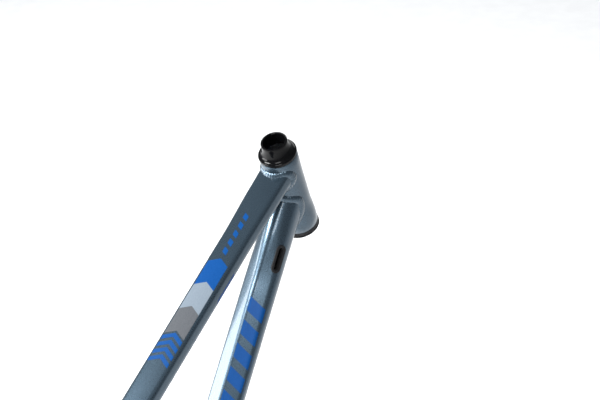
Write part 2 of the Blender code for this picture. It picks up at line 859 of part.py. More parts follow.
def headset_crown_race(place):
    profile = (
        (0.01505, -0.0020),
        (0.0168, -0.0020),
        (0.0168, -0.0040),
        (0.0178, -0.0050),
        (0.0246, -0.0050),
        (0.0246, -0.0076),
        (0.01505, -0.0076),
    )
    return turned("headset_crown_race", profile, "steel", place)


def headset_lower_seal(place):
    profile = ((0.0249, -0.0050), (0.0264, -0.0050), (0.0266, -0.0076), (0.0249, -0.0076))
    return turned("headset_lower_seal", profile, "rubber", place)


def ball_retainer(name, place, radius, height, count):
    """Evenly spaced balls held by a thin cage ring that runs through them."""
    half = CAGE_THICK / 2
    low, high = height - half, height + half
    profile = ((radius - half, low), (radius + half, low), (radius + half, high), (radius - half, high))
    obj = turned(name, profile, "ball_steel", place, count)
    bm = bmesh.new()
    for i in range(count):
        a = 2 * math.pi * (i + 0.5) / count
        spot = Matrix.Translation((radius * math.cos(a), radius * math.sin(a), height))
        bmesh.ops.create_icosphere(bm, subdivisions=1, radius=BALL_R, matrix=spot)
    combine(obj, tool(f"balls_of_{name}", bm, place), "UNION")
    return obj


def headset():
    top = axes(HEAD_TOP, STEER_UP)
    bottom = axes(HEAD_TOP - STEER_UP * HEAD_LENGTH, STEER_UP)
    headset_upper_cup(top)
    headset_upper_cone(top)
    compression_ring(top)
    headset_top_cover(top)
    ball_retainer("headset_upper_ball_retainer", top, 0.0182, -0.0018, HEADSET_BALLS)
    headset_lower_cup(bottom)
    headset_crown_race(bottom)
    headset_lower_seal(bottom)
    ball_retainer("headset_lower_ball_retainer", bottom, 0.0190, -0.0028, HEADSET_BALLS)


# --- Bottom bracket -----------------------------------------------------------------------
def bracket_cup(name, flange_r, flange_h, side):
    """Threaded cup with a flange, a lip over the bearing and notches for its spanner."""
    outer, inner, inner_end = SHELL_BORE_R - GAP, 0.0160, 0.0160
    lip_r, lip_h, edge = 0.0120, 0.0016, 0.0005
    seat = SHELL_HALF + GAP
    face = seat + flange_h
    profile = (
        (inner, side * inner_end),
        (outer, side * inner_end),
        (outer, side * seat),
        (flange_r, side * seat),
        (flange_r, side * (face - edge)),
        (flange_r - edge, side * face),
        (lip_r, side * face),
        (lip_r, side * (face - lip_h)),
        (inner, side * (face - lip_h)),
    )
    obj = turned(name, profile, "black_alloy", shell_place())
    half, depth = 0.0016, 0.0012
    notch = points_2d((0.0140, -half), (0.03, -half), (0.03, half), (0.0140, half))
    low, high = sorted((side * (face - depth), side * (face + depth)))
    for k in range(CUP_NOTCHES):
        spin = Matrix.Rotation(math.tau * k / CUP_NOTCHES, 4, "Z")
        combine(obj, tool(f"{name}_notch_{k}", prism(notch, low, high), shell_place() @ spin))
    return obj


def bracket_sleeve():
    outer, inner, half = 0.0157, 0.0149, 0.0340
    profile = ((inner, -half), (outer, -half), (outer, half), (inner, half))
    return turned("bracket_cartridge_sleeve", profile, "zinc_steel", shell_place())


def flat_ring(name, inner, outer, middle, thick, colour):
    """A plain ring round the bottom bracket axis, such as a bearing race or a seal."""
    low, high = middle - thick / 2, middle + thick / 2
    profile = ((inner, low), (outer, low), (outer, high), (inner, high))
    return turned(name, profile, colour, shell_place())


def spindle_square(width):
    """Outline of the square taper, its corners rounded, starting on a diagonal."""
    w, corner = width / 2, 0.0022
    return blended(((w, w, corner), (-w, w, corner), (-w, -w, corner), (w, -w, corner)))


def spindle_circle(radius):
    """A round outline whose points pair with those of the square one."""
    count = len(spindle_square(1.0))
    first = math.pi / 4 - math.tau / count
    return arc(radius, first, first + math.tau, count + 1)[:count]


def bracket_spindle():
    """Axle with two ball tracks and a square taper at each end."""
    half = SPINDLE_LENGTH / 2
    small, large = spindle_square(0.0126), spindle_square(0.0140)
    core, waist, track = spindle_circle(0.0084), spindle_circle(0.0085), spindle_circle(0.0089)
    ends = ((half, small), (half - 0.0160, large), (half - 0.0215, core))
    stations = [(-height, outline) for height, outline in ends]
    for middle in (-BEARING_Y, BEARING_Y):
        stations += [(middle - 0.0045, waist), (middle - 0.0040, track)]
        stations += [(middle + 0.0040, track), (middle + 0.0045, waist)]
    stations += reversed(ends)
    rings = [[Vector((p.x, p.y, height)) for p in outline] for height, outline in stations]
    obj = add("bracket_spindle", loft(rings), "steel", shell_place())
    for side, word in ((1, "left"), (-1, "right")):
        low, high = sorted((side * (half - 0.018), side * (half + 0.002)))
        hole = f"cut_spindle_{word}"
        combine(obj, cylinder_tool(hole, 0.0034, low, high, shell_place(), SMALL_TURN_STEPS))
    return obj


def bottom_bracket():
    bracket_cup("bracket_cup_right", 0.0195, 0.0030, -1)
    bracket_cup("bracket_cup_left", 0.0185, 0.0024, 1)
    bracket_sleeve()
    bracket_spindle()
    for side, word in ((1, "left"), (-1, "right")):
        flat_ring(f"bracket_race_{word}", 0.0136, 0.0146, side * BEARING_Y, 0.0080, "steel")
        flat_ring(f"bracket_seal_{word}", 0.0094, 0.0146, side * 0.0330, 0.0014, "rubber")
        name = f"bracket_ball_retainer_{word}"
        ball_retainer(name, shell_place(), 0.01125, side * BEARING_Y, BRACKET_BALLS)


# --- Seat clamp ---------------------------------------------------------------------------
def clamp_place():
    """Top of the seat tube: local X to the front, Y to the left, Z up the tube."""
    matrix = Matrix((-seat_back(), (0.0, 1.0, 0.0), SEAT_UP)).transposed().to_4x4()
    matrix.translation = SEAT_UP * SEAT_TUBE_LENGTH
    return matrix


def skewer_place(y=0.0):
    """On the clamp bolt's axis, with the clamp's own directions."""
    middle = COLLAR_TOP - COLLAR_HEIGHT / 2
    return clamp_place() @ Matrix.Translation((-SKEWER_BACK, y, middle))


def across(place):
    """The same origin with local Z along the clamp bolt, towards the left."""
    return place @ Matrix.Rotation(-math.pi / 2, 4, "X")


def seat_clamp_collar(bolt_hole):
    """Split ring round the top of the seat tube with two ears at the back."""
    inner_r, ear, slit, back = SEAT_TUBE_R + GAP, 0.0075, 0.0012, 0.0330
    outer = math.pi - math.asin(ear / COLLAR_R)
    inner = math.pi - math.asin(slit / inner_r)
    outline = arc(COLLAR_R, outer, -outer, 25) + points_2d((-back, -ear), (-back, -slit))
    outline += arc(inner_r, -inner, inner, 25) + points_2d((-back, slit), (-back, ear))
    body = prism(outline, COLLAR_TOP - COLLAR_HEIGHT, COLLAR_TOP)
    obj = add("seat_clamp_collar", body, "black_alloy", clamp_place())
    combine(obj, bolt_hole)
    return obj


def clamp_skewer():
    """Bolt across the ears, with an eye at its left end for the lever's pin."""
    r, low, high = SKEWER_R, -0.0175, 0.0160
    profile = ((0.0, low), (r - 0.0005, low), (r, low + 0.0005), (r, high), (0.0, high))
    obj = turned("clamp_skewer", profile, "steel", across(skewer_place()), closed=False)
    eye_place, half = skewer_place(LEVER_PIN_Y), 0.0025
    combine(obj, cylinder_tool("eye_of_skewer", SKEWER_EYE_R, -half, half, eye_place), "UNION")
    hole = cylinder_tool("cut_skewer_eye", PIN_R + GAP, -0.01, 0.01, eye_place, SMALL_TURN_STEPS)
    combine(obj, hole)
    return obj


def clamp_cam_washer():
    """Dished washer between the lever's cam and the left ear."""
    low, high, edge, r = 0.0078, 0.0108, 0.0006, 0.0064
    profile = (
        (SKEWER_R + GAP, low),
        (r - edge, low),
        (r, low + edge),
        (r, high - edge),
        (r - edge, high),
        (SKEWER_R + GAP, high),
    )
    return turned("clamp_cam_washer", profile, "black_alloy", across(skewer_place()))


def clamp_nut():
    """Round thumb nut against the right ear."""
    profile = (
        (SKEWER_R + GAP, -0.0078),
        (0.0063, -0.0078),
        (0.0067, -0.0084),
        (0.0067, -0.0120),
        (0.0052, -0.0145),
        (SKEWER_R + GAP, -0.0145),
    )
    return turned("clamp_nut", profile, "black_alloy", across(skewer_place()))


def lever_outline():
    """Cam circle and a blade that wraps round the left of the collar; origin on the pin."""
    cam = [Vector((0.0, -CAM_OFFSET)) + p for p in arc(CAM_R, 1.75, 5.6, 12)]
    inner = ((0.0064, -0.0030), (0.0125, 0.0022), (0.0250, 0.0062), (0.0370, 0.0030), (0.0460, -0.0052))
    outer = ((0.0490, -0.0020), (0.0395, 0.0068), (0.0250, 0.0103), (0.0110, 0.0083), (0.0030, 0.0060))
    return cam + smooth_outline(inner, 7) + smooth_outline(outer, 7)


def clamp_lever():
    """Quick-release lever: forked cam and curved blade, turning about its pin."""
    place = skewer_place(LEVER_PIN_Y)
    half, fork = 0.0058, 0.0028
    obj = add("clamp_lever", prism(lever_outline(), -half, half), "black_alloy", place)
    sweep = points_2d(
        (0.0028, -0.012),
        (0.0028, 0.0),
        (0.0024, 0.0014),
        (-0.0036, 0.012),
        (-0.012, 0.012),
        (-0.012, -0.012),
    )
    combine(obj, tool("cut_lever_sweep", prism(sweep, -fork, fork), place))
    combine(obj, cylinder_tool("cut_lever_eye", SKEWER_EYE_R + 0.0004, -fork, fork, place, 16))
    pin_hole = cylinder_tool("cut_lever_pin", PIN_R + GAP, -0.01, 0.01, place, SMALL_TURN_STEPS)
    combine(obj, pin_hole)
    return obj


def clamp_pivot_pin():
    half = 0.0056
    profile = ((0.0, -half), (PIN_R, -half), (PIN_R, half), (0.0, half))
    place = skewer_place(LEVER_PIN_Y)
    return turned("clamp_pivot_pin", profile, "steel", place, SMALL_TURN_STEPS, closed=False)


def seat_clamp():
    bolt_hole = cylinder_tool("cut_collar_bolt", SKEWER_R + GAP, -0.02, 0.02, across(skewer_place()))
    seat_clamp_collar(bolt_hole)
    clamp_skewer()
    clamp_cam_washer()
    clamp_nut()
    clamp_lever()
    clamp_pivot_pin()


# --- Ports and bottle bosses --------------------------------------------------------------
def stadium(length, width):
    """A slot outline with round ends, long axis along X."""
    reach = Vector(((length - width) / 2, 0.0))
    right = [reach + p for p in arc(width / 2, -math.pi / 2, math.pi / 2, PORT_END_POINTS)]
    return right + [-p for p in right]


def ring_prism(outer, inner, low, high):
    """A bmesh of the space between two outlines of equal length, extruded along Z."""
    bm = bmesh.new()
    rings = []
    for outline, height in ((outer, low), (outer, high), (inner, high), (inner, low)):
        rings.append([bm.verts.new((p.x, p.y, height)) for p in outline])
    for a, b in zip(rings, rings[1:] + rings[:1]):
        for i in range(len(a)):
            bm.faces.new((a[i - 1], a[i], b[i], b[i - 1]))
    return bm


def port(tube, name, station, angle, length, width):
    """An oval hole in a shallow recess of the down tube, and the grommet that lines it."""
    place = down_tube_place(station, angle)
    floor = down_tube_reach(station, angle) - PORT_RECESS
    reach, rim = 0.012, PORT_RIM
    hole = prism(stadium(length + 2 * GAP, width + 2 * GAP), floor - reach, floor + reach)
    combine(tube, tool(f"cut_{name}", hole, place))
    recess = prism(stadium(length + 2 * (rim + GAP), width + 2 * (rim + GAP)), floor, floor + reach)
    combine(tube, tool(f"cut_{name}_recess", recess, place))
    outer, inner = stadium(length, width), stadium(length - 2 * rim, width - 2 * rim)
    obj = add(name, ring_prism(outer, inner, floor - 0.0060, floor + 0.0010), "rubber", place)
    flange = ring_prism(stadium(length + 2 * rim, width + 2 * rim), inner, floor + GAP, floor + 0.0018)
    combine(obj, tool(f"flange_of_{name}", flange, place), "UNION")


def bottle_bosses(name, tube, places, seat):
    """Two threaded inserts in a tube wall, for a bottle cage."""
    inner, barrel, flange = 0.0028, 0.0036, 0.0055
    low, top = seat - 0.0090, seat + 0.0012
    profile = (
        (inner, low),
        (barrel, low),
        (barrel, seat + GAP),
        (flange, seat + GAP),
        (flange, top),
        (inner, top),
    )
    for word, place in zip(("lower", "upper"), places):
        turned(f"{name}_insert_{word}", profile, "zinc_steel", place, SMALL_TURN_STEPS)
        hole = f"cut_{name}_{word}"
        combine(tube, cylinder_tool(hole, barrel + GAP, low - 0.001, top + 0.01, place, SMALL_TURN_STEPS))


def seat_tube_front(station):
    """On the seat tube's axis, local Z pointing forward."""
    return axes(SEAT_UP * station, -seat_back())


def build():
    clear_scene()
    cut_head = head_cutter()
    cut_seat = seat_cutter()
    cut_shell = shell_cutter()

    head_tube()
    top = top_tube()
    for cutter in (cut_head, cut_seat):
        combine(top, cutter)
    down = down_tube()
    for cutter in (cut_head, cut_seat, cut_shell):
        combine(down, cutter)
    seat = seat_tube()
    combine(seat, cut_shell)
    bottom_bracket_shell()

    cutters = stays(cut_seat, cut_shell)
    chain_pair = (cutters["chain_left"], cutters["chain_right"])
    seat_pair = (cutters["seat_left"], cutters["seat_right"])
    bridge("chainstay_bridge", (-0.0560, 0.0, 0.0030), 0.0300, 0.0080, chain_pair)
    bridge("seatstay_bridge", (-0.1530, 0.0, 0.2950), 0.0340, 0.0070, seat_pair)
    slot = axle_slot_cutter()
    holes = hanger_bolt_holes()
    dropout("left", 1, slot)
    right = dropout("right", -1, slot)
    for hole in holes:
        combine(right, hole)
    derailleur_hanger(slot, holes)
    hanger_bolts()
    disc_brake_mount(cutters["seat_left"])
    chainstay_cable_stop()

    headset()
    bottom_bracket()
    seat_clamp()

    port(down, "cable_port_grommet", PORT_STATION, PORT_ANGLE, PORT_LENGTH, PORT_WIDTH)
    port(down, "cable_exit_grommet", EXIT_STATION, math.pi, EXIT_LENGTH, EXIT_WIDTH)
    spots = (-BOTTLE_BOLT_SPACING / 2, BOTTLE_BOLT_SPACING / 2)
    down_places = [down_tube_place(DOWN_TUBE_BOTTLE - s) for s in spots]
    seat_places = [seat_tube_front(SEAT_TUBE_BOTTLE + s) for s in spots]
    ridge = max(down_tube_reach(DOWN_TUBE_BOTTLE - s, 0.0) for s in spots) + GAP
    bottle_bosses("down_tube_bottle", down, down_places, ridge)
    bottle_bosses("seat_tube_bottle", seat, seat_places, SEAT_TUBE_R)


build()
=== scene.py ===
"""Looks of the hardtail bicycle frame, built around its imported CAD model.

Everything is in metres in the row frame: origin at the bottom bracket, +X forward, +Y to the
rider's left, +Z up. The shaped tubes and the turned parts are made again with fine meshes, weld
beads and paint graphics are added, and small machined parts get rounded edges.
"""

import json
import math

import bmesh
import bpy
import numpy as np
from mathutils import Matrix, Vector


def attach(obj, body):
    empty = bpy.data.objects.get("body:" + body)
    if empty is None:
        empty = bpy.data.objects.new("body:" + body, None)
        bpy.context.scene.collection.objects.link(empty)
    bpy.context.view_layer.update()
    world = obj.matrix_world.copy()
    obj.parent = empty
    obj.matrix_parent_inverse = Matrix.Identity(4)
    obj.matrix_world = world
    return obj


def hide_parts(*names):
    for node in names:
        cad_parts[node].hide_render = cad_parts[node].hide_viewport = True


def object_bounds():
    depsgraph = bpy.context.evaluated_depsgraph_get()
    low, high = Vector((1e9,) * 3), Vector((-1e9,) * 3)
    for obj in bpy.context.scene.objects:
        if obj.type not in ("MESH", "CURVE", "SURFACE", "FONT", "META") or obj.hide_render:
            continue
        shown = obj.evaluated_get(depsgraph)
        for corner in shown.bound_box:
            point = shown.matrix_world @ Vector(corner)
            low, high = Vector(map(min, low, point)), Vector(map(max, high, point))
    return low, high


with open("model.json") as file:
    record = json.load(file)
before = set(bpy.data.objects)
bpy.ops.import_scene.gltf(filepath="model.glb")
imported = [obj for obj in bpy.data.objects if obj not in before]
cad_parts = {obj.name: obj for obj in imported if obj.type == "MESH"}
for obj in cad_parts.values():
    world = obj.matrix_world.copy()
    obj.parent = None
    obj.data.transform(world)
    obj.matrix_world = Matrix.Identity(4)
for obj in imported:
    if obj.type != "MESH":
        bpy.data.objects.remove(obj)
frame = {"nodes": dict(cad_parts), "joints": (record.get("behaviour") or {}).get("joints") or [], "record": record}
CAD_BOX = [list(corner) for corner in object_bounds()]

# --- Frame layout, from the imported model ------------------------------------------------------
JOINTS = {joint["name"]: joint for joint in frame["joints"]}
HEAD_TOP = Vector(JOINTS["steering"]["pos_m"])
STEER_UP = Vector(JOINTS["steering"]["axis"]).normalized()
SEAT_UP = Vector(JOINTS["lever_swing"]["axis"]).normalized()
SEAT_BACK = Vector((-SEAT_UP.z, 0.0, SEAT_UP.x))
SIDE = Vector((0.0, 1.0, 0.0))
UPWARD = Vector((0.0, 0.0, 1.0))
ORIGIN = Vector((0.0, 0.0, 0.0))

# --- Driving dimensions, the CAD's, with a softer ridge near the head -------------------------
HEAD_LENGTH = 0.128
HEAD_BORE_R = 0.02215
HEAD_R_TOP = 0.0250
HEAD_R_WAIST = 0.0246
HEAD_R_BOTTOM = 0.0260
# The waist's depths below the head tube's top: it starts, is reached, ends, and is left.
HEAD_WAIST_DEPTHS = (0.012, 0.040, 0.085, 0.116)
HEAD_CUT_R = 0.0255
SEAT_TUBE_LENGTH = 0.400
SEAT_TUBE_R = 0.01745
SEATPOST_BORE_R = 0.0158
SEAT_TUBE_FOOT = -0.002
SLIT_LENGTH = 0.036
SLIT_WIDTH = 0.0020
SLIT_END_R = 0.0022
SHELL_R = 0.0200
SHELL_BORE_R = 0.0173
SHELL_HALF = 0.0365
TUBE_WALL = 0.0018
STAY_WALL = 0.0015
STEERER_BORE_R = 0.0145
TOP_TUBE_DROP = 0.0245
DOWN_TUBE_DROP = 0.066
TOP_TUBE_SLOPE = math.radians(27.0)
GAP = 0.0003

# Share of the length, width, height.
TOP_TUBE_SECTIONS = (
    (0.00, 0.0460, 0.0290),
    (0.08, 0.0445, 0.0280),
    (0.22, 0.0405, 0.0262),
    (0.60, 0.0395, 0.0262),
    (0.86, 0.0365, 0.0290),
    (1.00, 0.0340, 0.0310),
)
# Share, width, ridge height, shoulder height, depth, rounding of the ridge and of the shoulders.
DOWN_TUBE_SECTIONS = (
    (0.00, 0.0450, 0.0270, 0.0120, 0.0270, 0.0130, 0.0120),
    (0.07, 0.0460, 0.0262, 0.0115, 0.0260, 0.0120, 0.0120),
    (0.19, 0.0500, 0.0203, 0.0085, 0.0200, 0.0060, 0.0080),
    (0.40, 0.0510, 0.0180, 0.0070, 0.0180, 0.0040, 0.0060),
    (0.70, 0.0510, 0.0175, 0.0085, 0.0180, 0.0120, 0.0070),
    (1.00, 0.0540, 0.0170, 0.0100, 0.0180, 0.0160, 0.0080),
)
CHAINSTAY_LINE = (
    (-0.0100, 0.0275, 0.0000),
    (-0.0800, 0.0345, 0.0040),
    (-0.1700, 0.0510, 0.0135),
    (-0.2800, 0.0640, 0.0255),
    (-0.3900, 0.0710, 0.0385),
)
CHAINSTAY_SECTIONS = (
    (0.00, 0.0165, 0.0300),
    (0.30, 0.0165, 0.0250),
    (0.65, 0.0180, 0.0200),
    (1.00, 0.0160, 0.0160),
)
SEATSTAY_LINE = (
    (-0.0980, 0.0130, 0.3310),
    (-0.1480, 0.0340, 0.2985),
    (-0.2150, 0.0540, 0.2400),
    (-0.3100, 0.0665, 0.1530),
    (-0.3980, 0.0710, 0.0725),
)
SEATSTAY_SECTIONS = (
    (0.00, 0.0160, 0.0180),
    (0.30, 0.0160, 0.0180),
    (1.00, 0.0160, 0.0160),
)
# For each bridge: its centre, half its length and its radius.
BRIDGES = {
    "chainstay": ((-0.0560, 0.0, 0.0030), 0.0300, 0.0080),
    "seatstay": ((-0.1530, 0.0, 0.2950), 0.0340, 0.0070),
}
# Cable ports and bottle inserts: distances along a tube, and sizes.
PORT_STATION = 0.092
PORT_ANGLE = math.radians(-62.0)
PORT_SIZE = (0.034, 0.0105)
EXIT_STATION = 0.620
EXIT_SIZE = (0.024, 0.0095)
PORT_RECESS = 0.0008
PORT_RIM = 0.0020
PORT_CUT_DEPTH = 0.012
LINING_DEPTH = 0.0060
LINING_RISE = 0.0018
BOTTLE_SPOTS = (-0.032, 0.032)
DOWN_TUBE_BOTTLE = 0.452
SEAT_TUBE_BOTTLE = 0.185
BOSS_R = 0.0036
BOSS_CUT = (-0.010, 0.011)

# --- Fineness ---------------------------------------------------------------------------------
CORNER_STEPS = 8
FLARE_STEPS = 24
WAIST_STEPS = 40
PORT_END_STEPS = 17
ROUND_STEPS = 96
TUBE_RINGS = 90
STAY_RINGS = 72
STAY_SIDES = 48
SHARP_ANGLE = 30.0
BEVEL_SHARP_ANGLE = 40.0
BEVEL_FROM_ANGLE = 35.0

# --- Weld beads: half widths, then what shapes the ripples ------------------------------------
HEAD_BEAD_R = 0.0060
BEAD_R = 0.0030
STAY_BEAD_R = 0.0024
STAY_END_BEAD_R = 0.0016
STAY_END_R = 0.0078
BEAD_RISE = 0.50
BEAD_STEP = 0.0006
BEAD_SIDES = 14
BEAD_PITCH = 0.0034
BEAD_RIPPLE = 0.10
BEAD_RIPPLE_LEAN = 0.30
BEAD_SHARP_ANGLE = 60.0

TOP_TUBE_START = HEAD_TOP - STEER_UP * TOP_TUBE_DROP
DOWN_TUBE_START = HEAD_TOP - STEER_UP * DOWN_TUBE_DROP


# --- Materials --------------------------------------------------------------------------------
# Waves per metre in the paint: its metal flake, its uneven gloss and its orange peel.
FLAKE_WAVES = 2600.0
GLOSS_WAVES = 900.0
PEEL_WAVES = 320.0


def new_material(name):
    material = bpy.data.materials.new(name)
    material.use_nodes = True
    tree = material.node_tree
    return material, tree, tree.nodes["Principled BSDF"]


def noise(tree, scale, detail=2.0, stretch=(1.0, 1.0, 1.0)):
    """Noise fixed to the piece; scale is in waves per metre."""
    place = tree.nodes.new("ShaderNodeTexCoord")
    mapping = tree.nodes.new("ShaderNodeMapping")
    mapping.inputs["Scale"].default_value = stretch
    texture = tree.nodes.new("ShaderNodeTexNoise")
    texture.inputs["Scale"].default_value = scale
    texture.inputs["Detail"].default_value = detail
    tree.links.new(place.outputs["Object"], mapping.inputs["Vector"])
    tree.links.new(mapping.outputs["Vector"], texture.inputs["Vector"])
    return texture.outputs["Fac"]


def spread(tree, value, low, high, start=0.3, end=0.7):
    """Maps noise to a range of numbers."""
    node = tree.nodes.new("ShaderNodeMapRange")
    node.inputs["From Min"].default_value = start
    node.inputs["From Max"].default_value = end
    node.inputs["To Min"].default_value = low
    node.inputs["To Max"].default_value = high
    tree.links.new(value, node.inputs["Value"])
    return node.outputs["Result"]


def tint(tree, value, dark, light, start=0.35, end=0.65):
    """Maps noise to a range of colours."""
    ramp = tree.nodes.new("ShaderNodeValToRGB")
    low, high = ramp.color_ramp.elements
    low.position, high.position = start, end
    low.color, high.color = (*dark, 1.0), (*light, 1.0)
    tree.links.new(value, ramp.inputs["Fac"])
    return ramp.outputs["Color"]


def roughen(tree, shader, value, strength, distance):
    """Small bumps from a pattern; distance is their height in metres."""
    bump = tree.nodes.new("ShaderNodeBump")
    bump.inputs["Strength"].default_value = strength
    bump.inputs["Distance"].default_value = distance
    tree.links.new(value, bump.inputs["Height"])
    tree.links.new(bump.outputs["Normal"], shader.inputs["Normal"])


def surface(name, dark, light, rough, metallic, grain, **more):
    """A material whose colour and roughness vary with the grain, given in waves per metre.

    more holds bump (strength, distance), coat, shine (strength of reflection) and stretch.
    """
    material, tree, shader = new_material(name)
    pattern = noise(tree, grain, 3.0, more.get("stretch", (1.0, 1.0, 1.0)))
    tree.links.new(tint(tree, pattern, dark, light), shader.inputs["Base Color"])
    tree.links.new(spread(tree, pattern, *rough), shader.inputs["Roughness"])
    shader.inputs["Metallic"].default_value = metallic
    shader.inputs["Specular IOR Level"].default_value = more.get("shine", 0.5)
    shader.inputs["Coat Weight"].default_value = more.get("coat", 0.0)
    shader.inputs["Coat Roughness"].default_value = 0.06
    roughen(tree, shader, pattern, *more.get("bump", (0.1, 0.00005)))
    return material


def metallic_paint(name, dark, light):
    """Fine metal flake under a clear coat that has a faint orange peel."""
    material, tree, shader = new_material(name)
    flake = noise(tree, FLAKE_WAVES, 1.0)
    tree.links.new(tint(tree, flake, dark, light, 0.25, 0.75), shader.inputs["Base Color"])
    tree.links.new(spread(tree, noise(tree, GLOSS_WAVES), 0.25, 0.33), shader.inputs["Roughness"])
    shader.inputs["Metallic"].default_value = 0.80
    shader.inputs["Coat Weight"].default_value = 0.40
    shader.inputs["Coat Roughness"].default_value = 0.08
    roughen(tree, shader, noise(tree, PEEL_WAVES), 0.10, 0.00006)
    return material


def make_materials():
    graphic = {"rough": (0.30, 0.40), "metallic": 0.0, "grain": 700.0, "shine": 0.15}
    return {
        "slate_paint": metallic_paint("slate_paint", (0.032, 0.056, 0.080), (0.050, 0.078, 0.104)),
        "black_alloy": surface(
            "black_alloy", (0.010, 0.010, 0.011), (0.022, 0.022, 0.024), (0.26, 0.38), 0.6, 1500.0,
            shine=0.4,
        ),
        "gloss_black": surface(
            "gloss_black", (0.0015, 0.0015, 0.0018), (0.0030, 0.0030, 0.0034), (0.08, 0.13),
            0.0, 500.0, bump=(0.05, 0.00003), coat=0.10, shine=0.06,
        ),
        "steel": surface(
            "steel", (0.48, 0.49, 0.51), (0.62, 0.63, 0.65), (0.22, 0.34), 1.0, 900.0,
            stretch=(1, 12, 1),
        ),
        "zinc_steel": surface(
            "zinc_steel", (0.38, 0.39, 0.42), (0.52, 0.53, 0.55), (0.34, 0.48), 1.0, 600.0
        ),
        "ball_steel": surface(
            "ball_steel", (0.70, 0.70, 0.72), (0.78, 0.78, 0.80), (0.08, 0.14), 1.0, 1500.0
        ),
        "rubber": surface(
            "rubber", (0.008, 0.008, 0.009), (0.018, 0.018, 0.019), (0.62, 0.82), 0.0, 2200.0,
            bump=(0.4, 0.0001), shine=0.2,
        ),
        "blue_graphic": surface(
            "blue_graphic", (0.0004, 0.037, 0.150), (0.0006, 0.044, 0.175), **graphic
        ),
        "light_graphic": surface(
            "light_graphic", (0.122, 0.150, 0.180), (0.136, 0.166, 0.198), **graphic
        ),
        "grey_graphic": surface(
            "grey_graphic", (0.058, 0.063, 0.070), (0.069, 0.074, 0.082), **graphic
        ),
    }


# --- Mesh tools -------------------------------------------------------------------------------
def axes(origin, z_axis, y_hint=(0.0, 1.0, 0.0)):
    """A placement whose local Z is z_axis and whose local Y is as near y_hint as it can be."""
    z = Vector(z_axis).normalized()
    x = Vector(y_hint).cross(z).normalized()
    matrix = Matrix((x, z.cross(x), z)).transposed().to_4x4()
    matrix.translation = Vector(origin)
    return matrix


def shade(mesh, sharp=SHARP_ANGLE):
    """Smooth shading that keeps edges steeper than sharp degrees."""
    mesh.shade_smooth()
    mesh.set_sharp_from_angle(angle=math.radians(sharp))


def add_mesh(name, bm, place=None, sharp=SHARP_ANGLE):
    """Turns a bmesh into an object with its vertices in the row frame."""
    if place is not None:
        bm.transform(place)
    bmesh.ops.recalc_face_normals(bm, faces=bm.faces)
    mesh = bpy.data.meshes.new(name)
    bm.to_mesh(mesh)
    bm.free()
    shade(mesh, sharp)
    obj = bpy.data.objects.new(name, mesh)
    bpy.context.scene.collection.objects.link(obj)
    return obj


def finish_piece(obj, material, body="frame", replaces=(), slot="slate_paint"):
    """Gives a finished piece its material and body and hides the CAD nodes it replaces; the slot argument is not
    used.
    """
    obj.data.materials.clear()
    obj.data.materials.append(MATERIALS[material])
    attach(obj, body)
    if replaces:
        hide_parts(*replaces)
    return obj


def arc(radius, start, end, count):
    angles = np.linspace(start, end, count)
    return [Vector((radius * math.cos(a), radius * math.sin(a))) for a in angles]


def circle(radius, count):
    """Evenly spaced points, with none repeated at the seam."""
    return arc(radius, 0.0, math.tau, count + 1)[:count]


def lathe(profile, steps=ROUND_STEPS, closed=True):
    """A bmesh of (radius, height) points turned about local Z; open profiles end on the axis."""
    bm = bmesh.new()
    round_points = circle(1.0, steps)
    rings = []
    for radius, height in profile:
        spots = [(0.0, 0.0, height)]
        if radius > 0.0:
            spots = [(radius * p.x, radius * p.y, height) for p in round_points]
        rings.append([bm.verts.new(spot) for spot in spots])
    pairs = list(zip(rings, rings[1:]))
    if closed:
        pairs.append((rings[-1], rings[0]))
    for low, high in pairs:
        for i in range(steps):
            j = (i + 1) % steps
            below = (low[i % len(low)], low[j % len(low)])
            above = (high[j % len(high)], high[i % len(high)])
            corners = list(dict.fromkeys(below + above))
            if len(corners) > 2:
                bm.faces.new(corners)
    return bm


def loft(outer, inner=None):
    """A closed tube through rings of points, hollow when inner rings are given."""
    bm = bmesh.new()
    walls = []
    for rings in (outer, inner):
        if rings is not None:
            walls.append([[bm.verts.new(p) for p in ring] for ring in rings])
    for rings in walls:
        for a, b in zip(rings, rings[1:]):
            for i in range(len(a)):
                bm.faces.new((a[i - 1], a[i], b[i], b[i - 1]))
    for end in (0, -1):
        if inner is None:
            bm.faces.new(walls[0][end])
            continue
        out_ring, in_ring = walls[0][end], walls[1][end]
        for i in range(len(out_ring)):
            bm.faces.new((out_ring[i - 1], out_ring[i], in_ring[i], in_ring[i - 1]))
    return bm


def prism(outline, low, high):
    """A straight solid with the outline in XY, between two heights."""
    return loft([[Vector((p[0], p[1], z)) for p in outline] for z in (low, high)])


def blended(corners, steps=CORNER_STEPS):
    """A closed outline whose corners (x, y, blend) are rounded over the blend length."""
    points = []
    count = len(corners)
    for i, (x, y, blend) in enumerate(corners):
        here = Vector((x, y))
        before = Vector(corners[i - 1][:2]) - here
        after = Vector(corners[(i + 1) % count][:2]) - here
        start = here + before.normalized() * min(blend, before.length * 0.48)
        end = here + after.normalized() * min(blend, after.length * 0.48)
        for t in np.linspace(0.0, 1.0, steps + 1):
            points.append(start * (1 - t) ** 2 + here * 2 * t * (1 - t) + end * t**2)
    return points


def inset_outline(points, distance):
    """The same outline moved inwards by a wall thickness."""
    area = sum(points[i - 1].cross(points[i]) for i in range(len(points)))
    turn = 1.0 if area > 0 else -1.0
    result = []
    for i, point in enumerate(points):
        along = points[(i + 1) % len(points)] - points[i - 1]
        result.append(point + Vector((-along.y, along.x)).normalized() * (turn * distance))
    return result


def interpolate(keys, share):
    """The values between two key sections, eased so that the tube swells smoothly."""
    for low, high in zip(keys, keys[1:]):
        if share <= high[0] or high is keys[-1]:
            t = min(max((share - low[0]) / (high[0] - low[0]), 0.0), 1.0)
            t = t * t * (3 - 2 * t)
            return [a + (b - a) * t for a, b in zip(low[1:], high[1:])]


